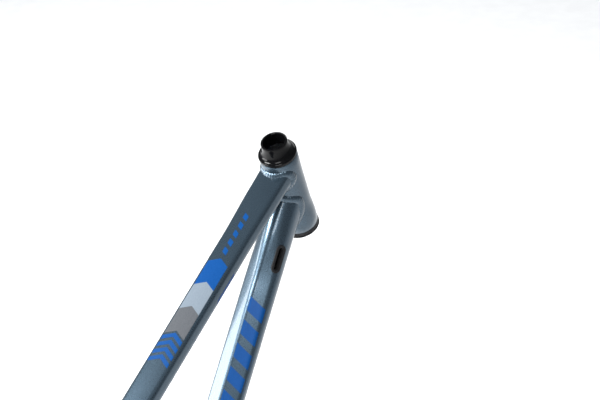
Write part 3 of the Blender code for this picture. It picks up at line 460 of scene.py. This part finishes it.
def smooth_line(points, count):
    """Points and directions on a smooth curve through the given points."""
    spots = [Vector(p) for p in points]
    spots = [spots[0] * 2 - spots[1]] + spots + [spots[-1] * 2 - spots[-2]]
    line = []
    for k in range(count):
        u = k / (count - 1) * (len(points) - 1)
        i = min(int(u), len(points) - 2)
        t = u - i
        a, b, c, d = spots[i : i + 4]
        slope = c - a
        bend = a * 2 - b * 5 + c * 4 - d
        twist = b * 3 - a - c * 3 + d
        here = 0.5 * (b * 2 + slope * t + bend * t**2 + twist * t**3)
        ahead = 0.5 * (slope + bend * 2 * t + twist * 3 * t**2)
        line.append((here, ahead.normalized()))
    return line


def cylinder_cutter(radius, low, high, place):
    """A cylinder along the placement's Z, for cut()."""
    profile = ((0.0, low), (radius, low), (radius, high), (0.0, high))
    return add_mesh("cutter", lathe(profile, closed=False), place)


def apply_modifiers(obj, sharp=SHARP_ANGLE):
    """Keeps the evaluated shape as the object's mesh."""
    graph = bpy.context.evaluated_depsgraph_get()
    mesh = bpy.data.meshes.new_from_object(obj.evaluated_get(graph))
    obj.modifiers.clear()
    obj.data = mesh
    shade(mesh, sharp)


def cut(obj, cutters):
    """Cuts obj by each cutter and keeps the result as its mesh."""
    for cutter in cutters:
        modifier = obj.modifiers.new("cut", "BOOLEAN")
        modifier.operation = "DIFFERENCE"
        modifier.solver = "EXACT"
        modifier.object = cutter
    apply_modifiers(obj)


def remove(objects):
    for obj in objects:
        bpy.data.objects.remove(obj, do_unlink=True)


# --- Tube shapes ------------------------------------------------------------------------------
def top_tube_outline(width, height):
    """Flat, faintly crowned top, full shoulders and a rounded belly."""
    w, h = width / 2, height / 2
    half = (
        (0.92 * w, 0.93 * h, 0.0055),
        (1.02 * w, -0.30 * h, 0.0065),
        (0.56 * w, -1.00 * h, 0.0055),
    )
    mirrored = tuple((-x, y, blend) for x, y, blend in reversed(half))
    return blended(((0.0, h, 0.0080), *half, *mirrored))


def down_tube_outline(width, ridge, shoulder, depth, ridge_blend, shoulder_blend):
    """A roof with a ridge on the centre line, two shoulders and a round keel."""
    w = width / 2
    half = (
        (w, shoulder, shoulder_blend),
        (0.97 * w, -0.45 * depth, 0.0080),
        (0.45 * w, -depth, 0.0070),
    )
    mirrored = tuple((-x, y, blend) for x, y, blend in reversed(half))
    return blended(((0.0, ridge, ridge_blend), *half, *mirrored))


class ShapedTube:
    """A straight tube whose section changes along it."""

    def __init__(self, start, reach, keys, outline):
        self.start, self.reach, self.keys, self.outline = start, reach, keys, outline
        self.along = reach.normalized()
        self.up = SIDE.cross(reach).normalized()

    def section(self, share):
        return self.outline(*interpolate(self.keys, share))

    def point(self, share, p):
        return self.start + self.reach * share + SIDE * p[0] + self.up * p[1]

    def rings(self, inset=0.0):
        result = []
        for share in np.linspace(0.0, 1.0, TUBE_RINGS):
            shape = self.section(share)
            if inset:
                shape = inset_outline(shape, inset)
            result.append([self.point(share, p) for p in shape])
        return result

    def top(self, station, across, lift=0.0):
        """The point of the upper skin at a distance along the tube and across it."""
        share = station / self.reach.length
        outline = self.section(share)
        height = -1.0
        for a, b in zip(outline, outline[1:] + outline[:1]):
            if (a.x - across) * (b.x - across) <= 0 and a.x != b.x:
                height = max(height, a.y + (b.y - a.y) * (across - a.x) / (b.x - a.x))
        return self.point(share, (across, height + lift))

    def flank(self, station, height, lift=0.0):
        """The point of the right-hand skin at a distance along the tube and a height."""
        share = station / self.reach.length
        outline = self.section(share)
        across = 1.0
        for a, b in zip(outline, outline[1:] + outline[:1]):
            if (a.y - height) * (b.y - height) <= 0 and a.y != b.y:
                across = min(across, a.x + (b.x - a.x) * (height - a.y) / (b.y - a.y))
        return self.point(share, (across - lift, height))

    def place(self, station, angle=0.0):
        """On the axis: local X down the tube, local Z out at an angle from the ridge."""
        out = self.up * math.cos(angle) + SIDE * math.sin(angle)
        matrix = Matrix((self.along, out.cross(self.along), out)).transposed().to_4x4()
        matrix.translation = self.start + self.along * station
        return matrix

    def skin(self, station, angle):
        """Distance from the axis to the skin in that direction."""
        shape = self.section(station / self.reach.length)
        return max(p.x * math.sin(angle) + p.y * math.cos(angle) for p in shape)


def top_tube_reach():
    along = Vector((-math.cos(TOP_TUBE_SLOPE), 0.0, -math.sin(TOP_TUBE_SLOPE)))
    return along * (-TOP_TUBE_START.dot(SEAT_BACK) / along.dot(SEAT_BACK))


def stay_rings(points, keys, grow=0.0):
    """Rings of an oval tube along a smooth centre line."""
    rings = []
    for k, (centre, along) in enumerate(smooth_line(points, STAY_RINGS)):
        width, height = interpolate(keys, k / (STAY_RINGS - 1))
        across = (SIDE - along * SIDE.dot(along)).normalized()
        up = along.cross(across)
        ring = []
        for p in circle(1.0, STAY_SIDES):
            sideways = across * ((width / 2 + grow) * p.x)
            ring.append(centre + sideways + up * ((height / 2 + grow) * p.y))
        rings.append(ring)
    return rings


# --- Weld beads -------------------------------------------------------------------------------
def meeting_line(rings, origin, axis, radius):
    """Where the lines of a tube meet a cylinder; rings run from the open end inwards."""
    spots = []
    for row in zip(*rings):
        last = None
        for point in row:
            offset = point - origin
            distance = (offset - axis * offset.dot(axis)).length
            if distance <= radius and last is not None:
                t = (last[1] - radius) / (last[1] - distance)
                spots.append(last[0].lerp(point, t))
                break
            last = (point, distance)
    return spots


def even_loop(points, step):
    """The same closed line with evenly spaced points, lightly smoothed."""
    points = [Vector(p) for p in points]
    closed = points + points[:1]
    lengths = np.cumsum([0.0] + [(b - a).length for a, b in zip(closed, closed[1:])])
    count = max(24, int(lengths[-1] / step))
    marks = np.linspace(0.0, lengths[-1], count, endpoint=False)
    columns = [np.interp(marks, lengths, [p[i] for p in closed]) for i in range(3)]
    loop = np.array(columns).T
    for _ in range(6):
        loop = (np.roll(loop, 1, 0) + 2 * loop + np.roll(loop, -1, 0)) / 4
    return [Vector(p) for p in loop], lengths[-1]


def bead(points, outward, radius):
    """A bmesh of a closed weld bead with overlapping ripples.

    outward is a function that gives the direction away from the joint at a point.
    """
    bm = bmesh.new()
    loop, length = even_loop(points, BEAD_STEP)
    waves = max(6, round(length / BEAD_PITCH))
    count = len(loop)
    rings = []
    for i, centre in enumerate(loop):
        along = (loop[(i + 1) % count] - loop[i - 1]).normalized()
        normal = outward(centre)
        normal = (normal - along * normal.dot(along)).normalized()
        across = along.cross(normal)
        ring = []
        for k in range(BEAD_SIDES):
            a = math.tau * k / BEAD_SIDES
            phase = math.pi * (waves * i / count + BEAD_RIPPLE_LEAN * math.cos(a))
            size = radius * (1 - BEAD_RIPPLE + BEAD_RIPPLE * abs(math.sin(phase)))
            rise, reach = BEAD_RISE * size * math.cos(a), size * math.sin(a)
            ring.append(bm.verts.new(centre + normal * rise + across * reach))
        rings.append(ring)
    for i in range(count):
        a, b = rings[i - 1], rings[i]
        for k in range(BEAD_SIDES):
            bm.faces.new((a[k - 1], a[k], b[k], b[k - 1]))
    return bm


def from_axis(origin, axis):
    """A function that gives the direction away from an axis."""
    def outward(point):
        offset = point - origin
        return (offset - axis * offset.dot(axis)).normalized()
    return outward


def weld_to_cylinder(name, rings, origin, axis, radius, size=BEAD_R):
    """The bead where a tube, given from its open end inwards, lands on a round tube."""
    first, last = (sum(ring, Vector()) / len(ring) for ring in (rings[0], rings[-1]))
    from_cylinder = from_axis(origin, axis)
    from_tube = from_axis(first, (last - first).normalized())

    def outward(point):
        return (from_cylinder(point) + from_tube(point)).normalized()

    line = meeting_line(rings, origin, axis, radius)
    obj = add_mesh(name, bead(line, outward, size), sharp=BEAD_SHARP_ANGLE)
    return finish_piece(obj, "slate_paint")


def weld_round(name, place, radius, size):
    """A bead round a circle in the placement's XY plane."""
    line = [place @ p.to_3d() for p in circle(radius, 48)]
    outward = from_axis(place.translation, place.col[2].xyz)
    obj = add_mesh(name, bead(line, outward, size), sharp=BEAD_SHARP_ANGLE)
    return finish_piece(obj, "slate_paint")


# --- Frame tubes ------------------------------------------------------------------------------
def stadium(length, width, steps=PORT_END_STEPS):
    """An outline with straight sides and round ends."""
    reach = Vector(((length - width) / 2, 0.0))
    right = [reach + p for p in arc(width / 2, -math.pi / 2, math.pi / 2, steps)]
    return right + [-p for p in right]


def port_cutters(tube, station, angle, size):
    """The hole and the shallow recess of an oval cable port."""
    length, width = size
    floor = tube.skin(station, angle) - PORT_RECESS
    rim = 2 * (PORT_RIM + GAP)
    low, high = floor - PORT_CUT_DEPTH, floor + PORT_CUT_DEPTH
    hole = prism(stadium(length + 2 * GAP, width + 2 * GAP), low, high)
    recess = prism(stadium(length + rim, width + rim), floor, high)
    place = tube.place(station, angle)
    return [add_mesh("cutter", shape, place.copy()) for shape in (hole, recess)]


def grommet(name, tube, station, angle, size, node):
    """Rubber lining of a cable port, with a rounded flange."""
    length, width = size
    floor = tube.skin(station, angle) - PORT_RECESS
    rim, rise = PORT_RIM, LINING_RISE
    # How far out from the port's edge, and how high above the recess's floor.
    profile = (
        (-rim, -LINING_DEPTH),
        (0.0, -LINING_DEPTH),
        (0.0, GAP),
        (rim - 0.0002, GAP),
        (rim, GAP + 0.0004),
        (rim - 0.0003, rise - 0.0004),
        (rim - 0.0009, rise),
        (-rim + 0.0009, rise),
        (-rim + 0.0002, rise - 0.0004),
        (-rim, rise - 0.0010),
    )
    rings = []
    for out, height in profile:
        shape = stadium(length + 2 * out, width + 2 * out)
        rings.append([Vector((p.x, p.y, floor + height)) for p in shape])
    bm = bmesh.new()
    made = [[bm.verts.new(p) for p in ring] for ring in rings]
    for a, b in zip(made, made[1:] + made[:1]):
        for i in range(len(a)):
            bm.faces.new((a[i - 1], a[i], b[i], b[i - 1]))
    obj = add_mesh(name, bm, tube.place(station, angle))
    return finish_piece(obj, "rubber", replaces=(node,), slot="rubber")


def boss_cutters(places, reach):
    """Holes for the bottle inserts, from below the skin at reach to above it."""
    low, high = (reach + end for end in BOSS_CUT)
    return [cylinder_cutter(BOSS_R + GAP, low, high, place) for place in places]


def main_tubes(top, down):
    """Head, top, down and seat tubes and the shell, mitred to each other."""
    cut_head = cylinder_cutter(HEAD_CUT_R, -HEAD_LENGTH - GAP, GAP, axes(HEAD_TOP, STEER_UP))
    cut_seat = cylinder_cutter(
        SEAT_TUBE_R + GAP, SEAT_TUBE_FOOT, SEAT_TUBE_LENGTH, axes(ORIGIN, SEAT_UP)
    )
    half = SHELL_HALF + 0.001
    cut_shell = cylinder_cutter(SHELL_R + GAP, -half, half, axes(ORIGIN, SIDE, UPWARD))

    head_tube()
    skin = add_mesh("top_tube_skin", loft(top.rings(), top.rings(TUBE_WALL)))
    cut(skin, (cut_head, cut_seat))
    finish_piece(skin, "slate_paint", replaces=("top_tube",))

    ports = port_cutters(down, PORT_STATION, PORT_ANGLE, PORT_SIZE)
    ports += port_cutters(down, EXIT_STATION, math.pi, EXIT_SIZE)
    ridge = max(down.skin(DOWN_TUBE_BOTTLE - s, 0.0) for s in BOTTLE_SPOTS) + GAP
    bosses = boss_cutters([down.place(DOWN_TUBE_BOTTLE - s) for s in BOTTLE_SPOTS], ridge)
    skin = add_mesh("down_tube_skin", loft(down.rings(), down.rings(TUBE_WALL)))
    cut(skin, (cut_head, cut_seat, cut_shell, *ports, *bosses))
    finish_piece(skin, "slate_paint", replaces=("down_tube",))
    grommet("cable_port_lining", down, PORT_STATION, PORT_ANGLE, PORT_SIZE, "cable_port_grommet")
    grommet("cable_exit_lining", down, EXIT_STATION, math.pi, EXIT_SIZE, "cable_exit_grommet")

    seat_bosses = boss_cutters(
        [axes(SEAT_UP * (SEAT_TUBE_BOTTLE + s), -SEAT_BACK) for s in BOTTLE_SPOTS], SEAT_TUBE_R
    )
    seat_tube((cut_shell, *seat_bosses))
    shell()
    remove([cut_head, *ports, *bosses, *seat_bosses])
    return cut_seat, cut_shell


def head_tube():
    """Turned tube with a slight waist and softened rims."""
    edge, bottom = 0.0004, -HEAD_LENGTH
    profile = [
        (HEAD_BORE_R + edge, 0.0),
        (HEAD_R_TOP - 0.0006, 0.0),
        (HEAD_R_TOP - 0.0002, -0.0002),
        (HEAD_R_TOP, -0.0006),
    ]
    radii = (HEAD_R_TOP, HEAD_R_WAIST, HEAD_R_WAIST, HEAD_R_BOTTOM)
    keys = tuple(zip(HEAD_WAIST_DEPTHS, radii))
    for depth in np.linspace(HEAD_WAIST_DEPTHS[0], HEAD_WAIST_DEPTHS[-1], WAIST_STEPS):
        profile.append((interpolate(keys, depth)[0], -depth))
    profile += [
        (HEAD_R_BOTTOM, bottom + 0.0006),
        (HEAD_R_BOTTOM - 0.0002, bottom + 0.0002),
        (HEAD_R_BOTTOM - 0.0006, bottom),
        (HEAD_BORE_R + edge, bottom),
        (HEAD_BORE_R, bottom + edge),
        (HEAD_BORE_R, -edge),
    ]
    obj = add_mesh("head_tube_skin", lathe(profile), axes(HEAD_TOP, STEER_UP))
    finish_piece(obj, "slate_paint", replaces=("head_tube",))


def seat_tube(cutters):
    """Round tube with the clamp's slit and the hole at the slit's end."""
    edge = 0.0004
    profile = (
        (SEATPOST_BORE_R, SEAT_TUBE_FOOT),
        (SEAT_TUBE_R, SEAT_TUBE_FOOT),
        (SEAT_TUBE_R, SEAT_TUBE_LENGTH - edge),
        (SEAT_TUBE_R - edge, SEAT_TUBE_LENGTH),
        (SEATPOST_BORE_R + edge, SEAT_TUBE_LENGTH),
        (SEATPOST_BORE_R, SEAT_TUBE_LENGTH - edge),
    )
    obj = add_mesh("seat_tube_skin", lathe(profile), axes(ORIGIN, SEAT_UP))
    slit_end = SEAT_UP * (SEAT_TUBE_LENGTH - SLIT_LENGTH)
    back = Matrix((-SIDE, SEAT_UP, SEAT_BACK)).transposed().to_4x4()
    back.translation = slit_end
    half, above, behind = SLIT_WIDTH / 2, 0.05, 0.03
    outline = ((-half, 0.0), (half, 0.0), (half, above), (-half, above))
    slit = add_mesh("cutter", prism(outline, 0.0, behind), back)
    hole = cylinder_cutter(SLIT_END_R, 0.005, behind, axes(slit_end, SEAT_BACK))
    cut(obj, (*cutters, slit, hole))
    remove((slit, hole))
    finish_piece(obj, "slate_paint", replaces=("seat_tube",))


def shell():
    edge = 0.0006
    profile = (
        (SHELL_BORE_R, -SHELL_HALF),
        (SHELL_R - edge, -SHELL_HALF),
        (SHELL_R, -SHELL_HALF + edge),
        (SHELL_R, SHELL_HALF - edge),
        (SHELL_R - edge, SHELL_HALF),
        (SHELL_BORE_R, SHELL_HALF),
    )
    obj = add_mesh("bracket_shell_skin", lathe(profile), axes(ORIGIN, SIDE, UPWARD))
    finish_piece(obj, "slate_paint", replaces=("bottom_bracket_shell",))


def main_welds(top, down):
    """Beads of the head, seat and bottom bracket joints."""
    top_rings, down_rings = top.rings(), down.rings()
    middle = TUBE_RINGS // 2
    for word, rings in (("top", top_rings), ("down", down_rings)):
        name, front = f"weld_{word}_tube_head", rings[:middle][::-1]
        weld_to_cylinder(name, front, HEAD_TOP, STEER_UP, HEAD_R_TOP, HEAD_BEAD_R)
    weld_to_cylinder("weld_top_tube_seat", top_rings[middle:], ORIGIN, SEAT_UP, SEAT_TUBE_R)
    weld_to_cylinder("weld_down_tube_shell", down_rings[middle:], ORIGIN, SIDE, SHELL_R)
    place = axes(ORIGIN, SEAT_UP)
    outline = circle(SEAT_TUBE_R, 72)
    heights = np.linspace(0.06, 0.0, 120)
    seat_rings = [[place @ Vector((p.x, p.y, h)) for p in outline] for h in heights]
    weld_to_cylinder("weld_seat_tube_shell", seat_rings, ORIGIN, SIDE, SHELL_R)


# --- Rear triangle ----------------------------------------------------------------------------
def rear_triangle(cut_seat, cut_shell):
    """Stays and bridges as fine tubes, with their beads."""
    solids = {"chainstay": [], "seatstay": []}
    plans = (
        ("chainstay", CHAINSTAY_LINE, CHAINSTAY_SECTIONS, cut_shell, SIDE, SHELL_R),
        ("seatstay", SEATSTAY_LINE, SEATSTAY_SECTIONS, cut_seat, SEAT_UP, SEAT_TUBE_R),
    )
    for turn, word in ((1, "left"), (-1, "right")):
        for kind, points, keys, cutter, axis, radius in plans:
            line = [(x, y * turn, z) for x, y, z in points]
            rings = stay_rings(line, keys)
            obj = add_mesh(f"{kind}_skin_{word}", loft(rings, stay_rings(line, keys, -STAY_WALL)))
            cut(obj, (cutter,))
            finish_piece(obj, "slate_paint", replaces=(f"{kind}_{word}",))
            solids[kind].append(add_mesh("cutter", loft(stay_rings(line, keys, GAP))))
            half = rings[: STAY_RINGS // 2][::-1]
            weld_to_cylinder(f"weld_{kind}_{word}", half, ORIGIN, axis, radius, STAY_BEAD_R)
            end = axes(*smooth_line(line, STAY_RINGS)[-1])
            weld_round(f"weld_{kind}_end_{word}", end, STAY_END_R, STAY_END_BEAD_R)
    for kind, cutters in solids.items():
        bridge(kind, *BRIDGES[kind], cutters)
        remove(cutters)


def bridge(kind, centre, half_length, radius, cutters):
    """A short tube across the bike, mitred to a pair of stays."""
    bore = radius - STAY_WALL
    ends = (-half_length, half_length)
    profile = ((bore, ends[0]), (radius, ends[0]), (radius, ends[1]), (bore, ends[1]))
    obj = add_mesh(f"{kind}_bridge_skin", lathe(profile), axes(centre, SIDE, UPWARD))
    cut(obj, cutters)
    finish_piece(obj, "slate_paint", replaces=(f"{kind}_bridge",))


# --- Turned parts -----------------------------------------------------------------------------
def turned_piece(name, profile, place, material, body, node):
    """A lathed piece in the given material that stands for a CAD node and hides it."""
    obj = add_mesh(name, lathe(profile), place)
    return finish_piece(obj, material, body, (node,), material)


def cover_profile():
    """Rim, concave flare and neck of the tall headset cover."""
    rim = [
        (0.0232, 0.0022),
        (0.0246, 0.0022),
        (0.0252, 0.0025),
        (0.0254, 0.0030),
        (0.0254, 0.0042),
        (0.0253, 0.0047),
        (0.0250, 0.0051),
    ]
    low, high = Vector((0.0246, 0.0054)), Vector((0.0174, 0.0205))
    flare = []
    for a in np.linspace(0.0, math.pi / 2, FLARE_STEPS):
        radius = low.x + (high.x - low.x) * math.sin(a)
        flare.append((radius, high.y + (low.y - high.y) * math.cos(a)))
    neck = [
        (0.0174, 0.0233),
        (0.0172, 0.0238),
        (0.0168, 0.0240),
        (STEERER_BORE_R + 0.0004, 0.0240),
        (STEERER_BORE_R, 0.0236),
        (STEERER_BORE_R, 0.0060),
        (0.0195, 0.0060),
        (0.0232, 0.0040),
    ]
    return rim + flare + neck


# Half sections as (radius, height) points, from the top or the bottom face of the head tube.
UPPER_CUP = (
    (0.0205, 0.0016),
    (0.0244, 0.0016),
    (0.0246, 0.0013),
    (0.0246, 0.0005),
    (0.0244, 0.0003),
    (0.02185, 0.0003),
    (0.02185, -0.0080),
    (0.0198, -0.0080),
    (0.0198, -0.0060),
    (0.0164, -0.0060),
    (0.0164, -0.0040),
    (0.0192, -0.0040),
    (0.0205, -0.0026),
)
LOWER_CUP = (
    (0.02185, 0.0080),
    (0.02185, -0.0003),
    (0.0259, -0.0003),
    (0.0262, -0.0006),
    (0.0262, -0.0016),
    (0.0257, -0.0021),
    (0.0257, -0.0026),
    (0.0262, -0.0031),
    (0.0262, -0.0042),
    (0.0259, -0.0046),
    (0.0212, -0.0046),
    (0.0212, -0.0016),
    (0.0200, -0.0006),
    (0.0170, -0.0006),
    (0.0170, 0.0014),
    (0.0196, 0.0014),
    (0.0196, 0.0080),
)
CROWN_RACE = (
    (0.01505, -0.0020),
    (0.0168, -0.0020),
    (0.0168, -0.0040),
    (0.0178, -0.0050),
    (0.0244, -0.0050),
    (0.0246, -0.0052),
    (0.0246, -0.0074),
    (0.0244, -0.0076),
    (0.01505, -0.0076),
)
LOWER_SEAL = (
    (0.0249, -0.0050),
    (0.0263, -0.0050),
    (0.0265, -0.0054),
    (0.0266, -0.0076),
    (0.0249, -0.0076),
)


def headset():
    """The headset's outer parts, each for its CAD node."""
    top = axes(HEAD_TOP, STEER_UP)
    bottom = axes(HEAD_TOP - STEER_UP * HEAD_LENGTH, STEER_UP)
    cover = cover_profile()
    turning = "steerer_parts"
    pieces = (
        ("headset_cover", cover, top, "gloss_black", turning, "headset_top_cover"),
        ("headset_cup_upper", UPPER_CUP, top, "black_alloy", "frame", "headset_upper_cup"),
        ("headset_cup_lower", LOWER_CUP, bottom, "black_alloy", "frame", "headset_lower_cup"),
        ("headset_race", CROWN_RACE, bottom, "steel", turning, "headset_crown_race"),
        ("headset_seal", LOWER_SEAL, bottom, "rubber", turning, "headset_lower_seal"),
    )
    for piece in pieces:
        turned_piece(*piece)


# --- Machined parts ---------------------------------------------------------------------------
# The width of each node's rounded edges.
ROUNDED_NODES = {
    "dropout_left": 0.0006,
    "dropout_right": 0.0006,
    "disc_brake_mount": 0.0006,
    "derailleur_hanger": 0.0005,
    "seat_clamp_collar": 0.0004,
    "clamp_lever": 0.0005,
    "clamp_nut": 0.0002,
    "clamp_cam_washer": 0.0002,
    "chainstay_cable_stop": 0.0002,
}


def rounded_copy(node, width):
    """The CAD node again, with its flat faces joined up and its sharp edges rounded."""
    bm = bmesh.new()
    bm.from_mesh(frame["nodes"][node].data)
    bmesh.ops.remove_doubles(bm, verts=bm.verts, dist=1e-6)
    bmesh.ops.dissolve_limit(bm, angle_limit=math.radians(0.5), verts=bm.verts, edges=bm.edges)
    obj = add_mesh(node + "_finished", bm)
    bevel = obj.modifiers.new("edges", "BEVEL")
    bevel.width = width
    bevel.segments = 2
    bevel.limit_method = "ANGLE"
    bevel.angle_limit = math.radians(BEVEL_FROM_ANGLE)
    bevel.harden_normals = False
    apply_modifiers(obj, BEVEL_SHARP_ANGLE)
    slot = SLOTS[node]
    body = next(name for name, nodes in BODIES.items() if node in nodes)
    return finish_piece(obj, slot, body, (node,), slot)


# --- Paint graphics ---------------------------------------------------------------------------
DECAL_LIFT = 0.00012
DECAL_SINK = 0.0006
CHEVRON_HALF_WIDTH = 0.0146
CHEVRON_POINT = 0.0078
# Along a tube, from its head end: the first shape's start, the pitch of a row where there is
# one, and the length of one shape.
BLOCKS = (0.1529, 0.0348)
ARROWS = (0.2601, 0.0098, 0.0056)
MARKS = (0.0840, 0.0130, 0.0075)
BARS = (0.1484, 0.0315, 0.0190)
STRIPE = (0.160, 0.040)
# How far a slanted shape leans along the tube, then where it starts and ends across it.
MARK_SLANT, MARK_EDGES = 0.0040, (0.0036, -0.0036)
BAR_SLANT, BAR_EDGES = 0.0128, (-0.0016, -0.0243)
STRIPE_SLANT, STRIPE_EDGES = 0.0060, (0.0012, -0.0040)
ARROW_COUNT, MARK_COUNT, BAR_COUNT = 4, 5, 8


def decal(name, skin, patches, material):
    """Thin painted shapes on a tube.

    skin is the tube's top or flank. Each patch is a function of (u, v) in 0..1 that gives the
    two distances that skin takes, with the number of steps in u and in v.
    """
    bm = bmesh.new()
    for patch, u_steps, v_steps in patches:
        layers = []
        for lift in (DECAL_LIFT, -DECAL_SINK):
            grid = []
            for v in np.linspace(0.0, 1.0, v_steps + 1):
                row = [patch(u, v) for u in np.linspace(0.0, 1.0, u_steps + 1)]
                grid.append([bm.verts.new(skin(station, offset, lift)) for station, offset in row])
            layers.append(grid)
        upper, lower = layers
        for grid in layers:
            for a, b in zip(grid, grid[1:]):
                for i in range(u_steps):
                    bm.faces.new((a[i], a[i + 1], b[i + 1], b[i]))
        rim = [(0, i) for i in range(u_steps)] + [(j, u_steps) for j in range(v_steps)]
        rim += [(v_steps, i) for i in range(u_steps, 0, -1)]
        rim += [(j, 0) for j in range(v_steps, 0, -1)]
        for (j, i), (n, m) in zip(rim, rim[1:] + rim[:1]):
            bm.faces.new((upper[j][i], upper[n][m], lower[n][m], lower[j][i]))
    obj = add_mesh(name, bm)
    return finish_piece(obj, material)


def chevron_patch(start, length):
    """A band across the tube whose ends point towards the head tube."""
    def patch(u, v):
        across = CHEVRON_HALF_WIDTH * (2 * u - 1)
        lean = abs(across) / CHEVRON_HALF_WIDTH
        return start + v * length + lean * CHEVRON_POINT, across

    return patch, 24, 12


def slanted_patch(corners):
    """A four-sided patch between (station, across) corners."""
    a, b, c, d = (Vector(p) for p in corners)

    def patch(u, v):
        spot = (a * (1 - u) + b * u) * (1 - v) + (d * (1 - u) + c * u) * v
        return spot.x, spot.y

    return patch, 12, 12


def slanted_row(count, first, pitch, length, slant, edges):
    """Slanted bars in a row; edges are where they start and end across the tube."""
    near, far = edges
    row = []
    for k in range(count):
        start = first + pitch * k
        row.append(slanted_patch((
            (start, near),
            (start + slant, far),
            (start + slant + length, far),
            (start + length, near),
        )))
    return row


def top_tube_graphics(top):
    """Blocks with arrow ends, four thin arrows and a row of small slanted marks."""
    first, length = BLOCKS
    for k, colour in enumerate(("blue", "light", "grey")):
        block = chevron_patch(first + k * length, length)
        decal(f"graphic_block_{colour}", top.top, [block], f"{colour}_graphic")
    first, pitch, length = ARROWS
    arrows = [chevron_patch(first + pitch * k, length) for k in range(ARROW_COUNT)]
    decal("graphic_arrows", top.top, arrows, "blue_graphic")
    marks = slanted_row(MARK_COUNT, *MARKS, MARK_SLANT, MARK_EDGES)
    decal("graphic_marks", top.top, marks, "blue_graphic")
    first, length = STRIPE
    stripe = slanted_row(1, first, 0.0, length, STRIPE_SLANT, STRIPE_EDGES)
    decal("graphic_stripe", top.flank, stripe, "blue_graphic")


def down_tube_graphics(down):
    """Large slanted bars on the right-hand face of the down tube."""
    bars = slanted_row(BAR_COUNT, *BARS, BAR_SLANT, BAR_EDGES)
    decal("graphic_bars", down.top, bars, "blue_graphic")


# --- Studio -----------------------------------------------------------------------------------
# The camera stands behind the head tube on the right; the lens is in millimetres.
CAMERA_FROM_HEAD = Vector((-0.87085, -0.60494, 0.54945))
CAMERA_YAW, CAMERA_PITCH, CAMERA_ROLL = (math.radians(a) for a in (33.4, -30.24, -2.39))
CAMERA_LENS = 55.96
WORLD_COLOUR = (0.90, 0.95, 1.0, 1.0)
WORLD_STRENGTH = 0.40
FRAME_MIDDLE = (0.1, 0.0, 0.35)
HEAD_JOINT = (0.36, 0.0, 0.55)
# Name, place, target, size, power in watts.
AREA_LIGHTS = (
    ("light_left", (-1.1, 2.4, 0.42), FRAME_MIDDLE, (1.8, 1.0), 76.0),
    ("light_rear_left", (-1.6, 1.8, 2.3), FRAME_MIDDLE, (1.3, 1.1), 240.0),
    ("light_rear", (-1.75, -0.7, 2.25), HEAD_JOINT, (1.2, 0.9), 46.0),
)
SUN_STRENGTH = 1.9
SUN_ANGLE = math.radians(40.0)
SUN_TRAVEL = Vector((-0.75, -0.35, -0.6))
FLOOR_DROP = 0.28
FLOOR_HALF = 9.0


def camera():
    """The scene's camera, placed from the head tube's top."""
    forward = Vector((
        math.cos(CAMERA_PITCH) * math.cos(CAMERA_YAW),
        math.cos(CAMERA_PITCH) * math.sin(CAMERA_YAW),
        math.sin(CAMERA_PITCH),
    ))
    right = forward.cross(UPWARD).normalized()
    up = right.cross(forward)
    tilt = Matrix.Rotation(CAMERA_ROLL, 3, -forward)
    data = bpy.data.cameras.new("camera")
    data.sensor_width = 36.0
    data.lens = CAMERA_LENS
    data.clip_start = 0.01
    obj = bpy.data.objects.new("camera", data)
    matrix = Matrix((tilt @ right, tilt @ up, -forward)).transposed().to_4x4()
    matrix.translation = HEAD_TOP + CAMERA_FROM_HEAD
    obj.matrix_world = matrix
    bpy.context.scene.collection.objects.link(obj)
    bpy.context.scene.camera = obj


def add_light(data, travel, place=(0.0, 0.0, 0.0)):
    """Places a light so that it shines in the direction of travel."""
    obj = bpy.data.objects.new(data.name, data)
    obj.location = place
    obj.rotation_mode = "QUATERNION"
    obj.rotation_quaternion = travel.to_track_quat("-Z", "Y")
    bpy.context.scene.collection.objects.link(obj)


def area_light(name, place, target, size, power):
    data = bpy.data.lights.new(name, "AREA")
    data.shape = "RECTANGLE"
    data.size, data.size_y = size
    data.energy = power
    add_light(data, Vector(target) - Vector(place), place)


def studio():
    """Soft light over a plain white floor."""
    world = bpy.data.worlds.new("studio")
    bpy.context.scene.world = world
    world.use_nodes = True
    background = world.node_tree.nodes["Background"]
    background.inputs["Color"].default_value = WORLD_COLOUR
    background.inputs["Strength"].default_value = WORLD_STRENGTH
    for light in AREA_LIGHTS:
        area_light(*light)
    sun = bpy.data.lights.new("light_sun", "SUN")
    sun.energy = SUN_STRENGTH
    sun.angle = SUN_ANGLE
    add_light(sun, SUN_TRAVEL)

    floor_z = CAD_BOX[0][2] - FLOOR_DROP
    bm = bmesh.new()
    h = FLOOR_HALF
    corners = [bm.verts.new((x, y, floor_z)) for x, y in ((-h, -h), (h, -h), (h, h), (-h, h))]
    bm.faces.new(corners)
    floor = add_mesh("floor", bm)
    floor.data.materials.append(surface(
        "floor_white", (0.86, 0.86, 0.86), (0.90, 0.90, 0.90), (0.8, 0.9), 0.0, 12.0,
        bump=(0.02, 0.0001),
    ))
    bpy.context.scene.view_settings.view_transform = "Standard"


# --- Build ------------------------------------------------------------------------------------
RECORD = frame["record"]
BODIES = RECORD["behaviour"]["bodies"]
SLOTS = {part["node"]: part["material_slot"] for part in RECORD["subparts"]}
MATERIALS = make_materials()

for node, obj in frame["nodes"].items():
    obj.data.materials.clear()
    obj.data.materials.append(MATERIALS[SLOTS[node]])

top = ShapedTube(TOP_TUBE_START, top_tube_reach(), TOP_TUBE_SECTIONS, top_tube_outline)
down = ShapedTube(DOWN_TUBE_START, -DOWN_TUBE_START, DOWN_TUBE_SECTIONS, down_tube_outline)
cut_seat, cut_shell = main_tubes(top, down)
main_welds(top, down)
rear_triangle(cut_seat, cut_shell)
remove((cut_seat, cut_shell))
headset()
for node, width in ROUNDED_NODES.items():
    rounded_copy(node, width)
top_tube_graphics(top)
down_tube_graphics(down)
camera()
studio()
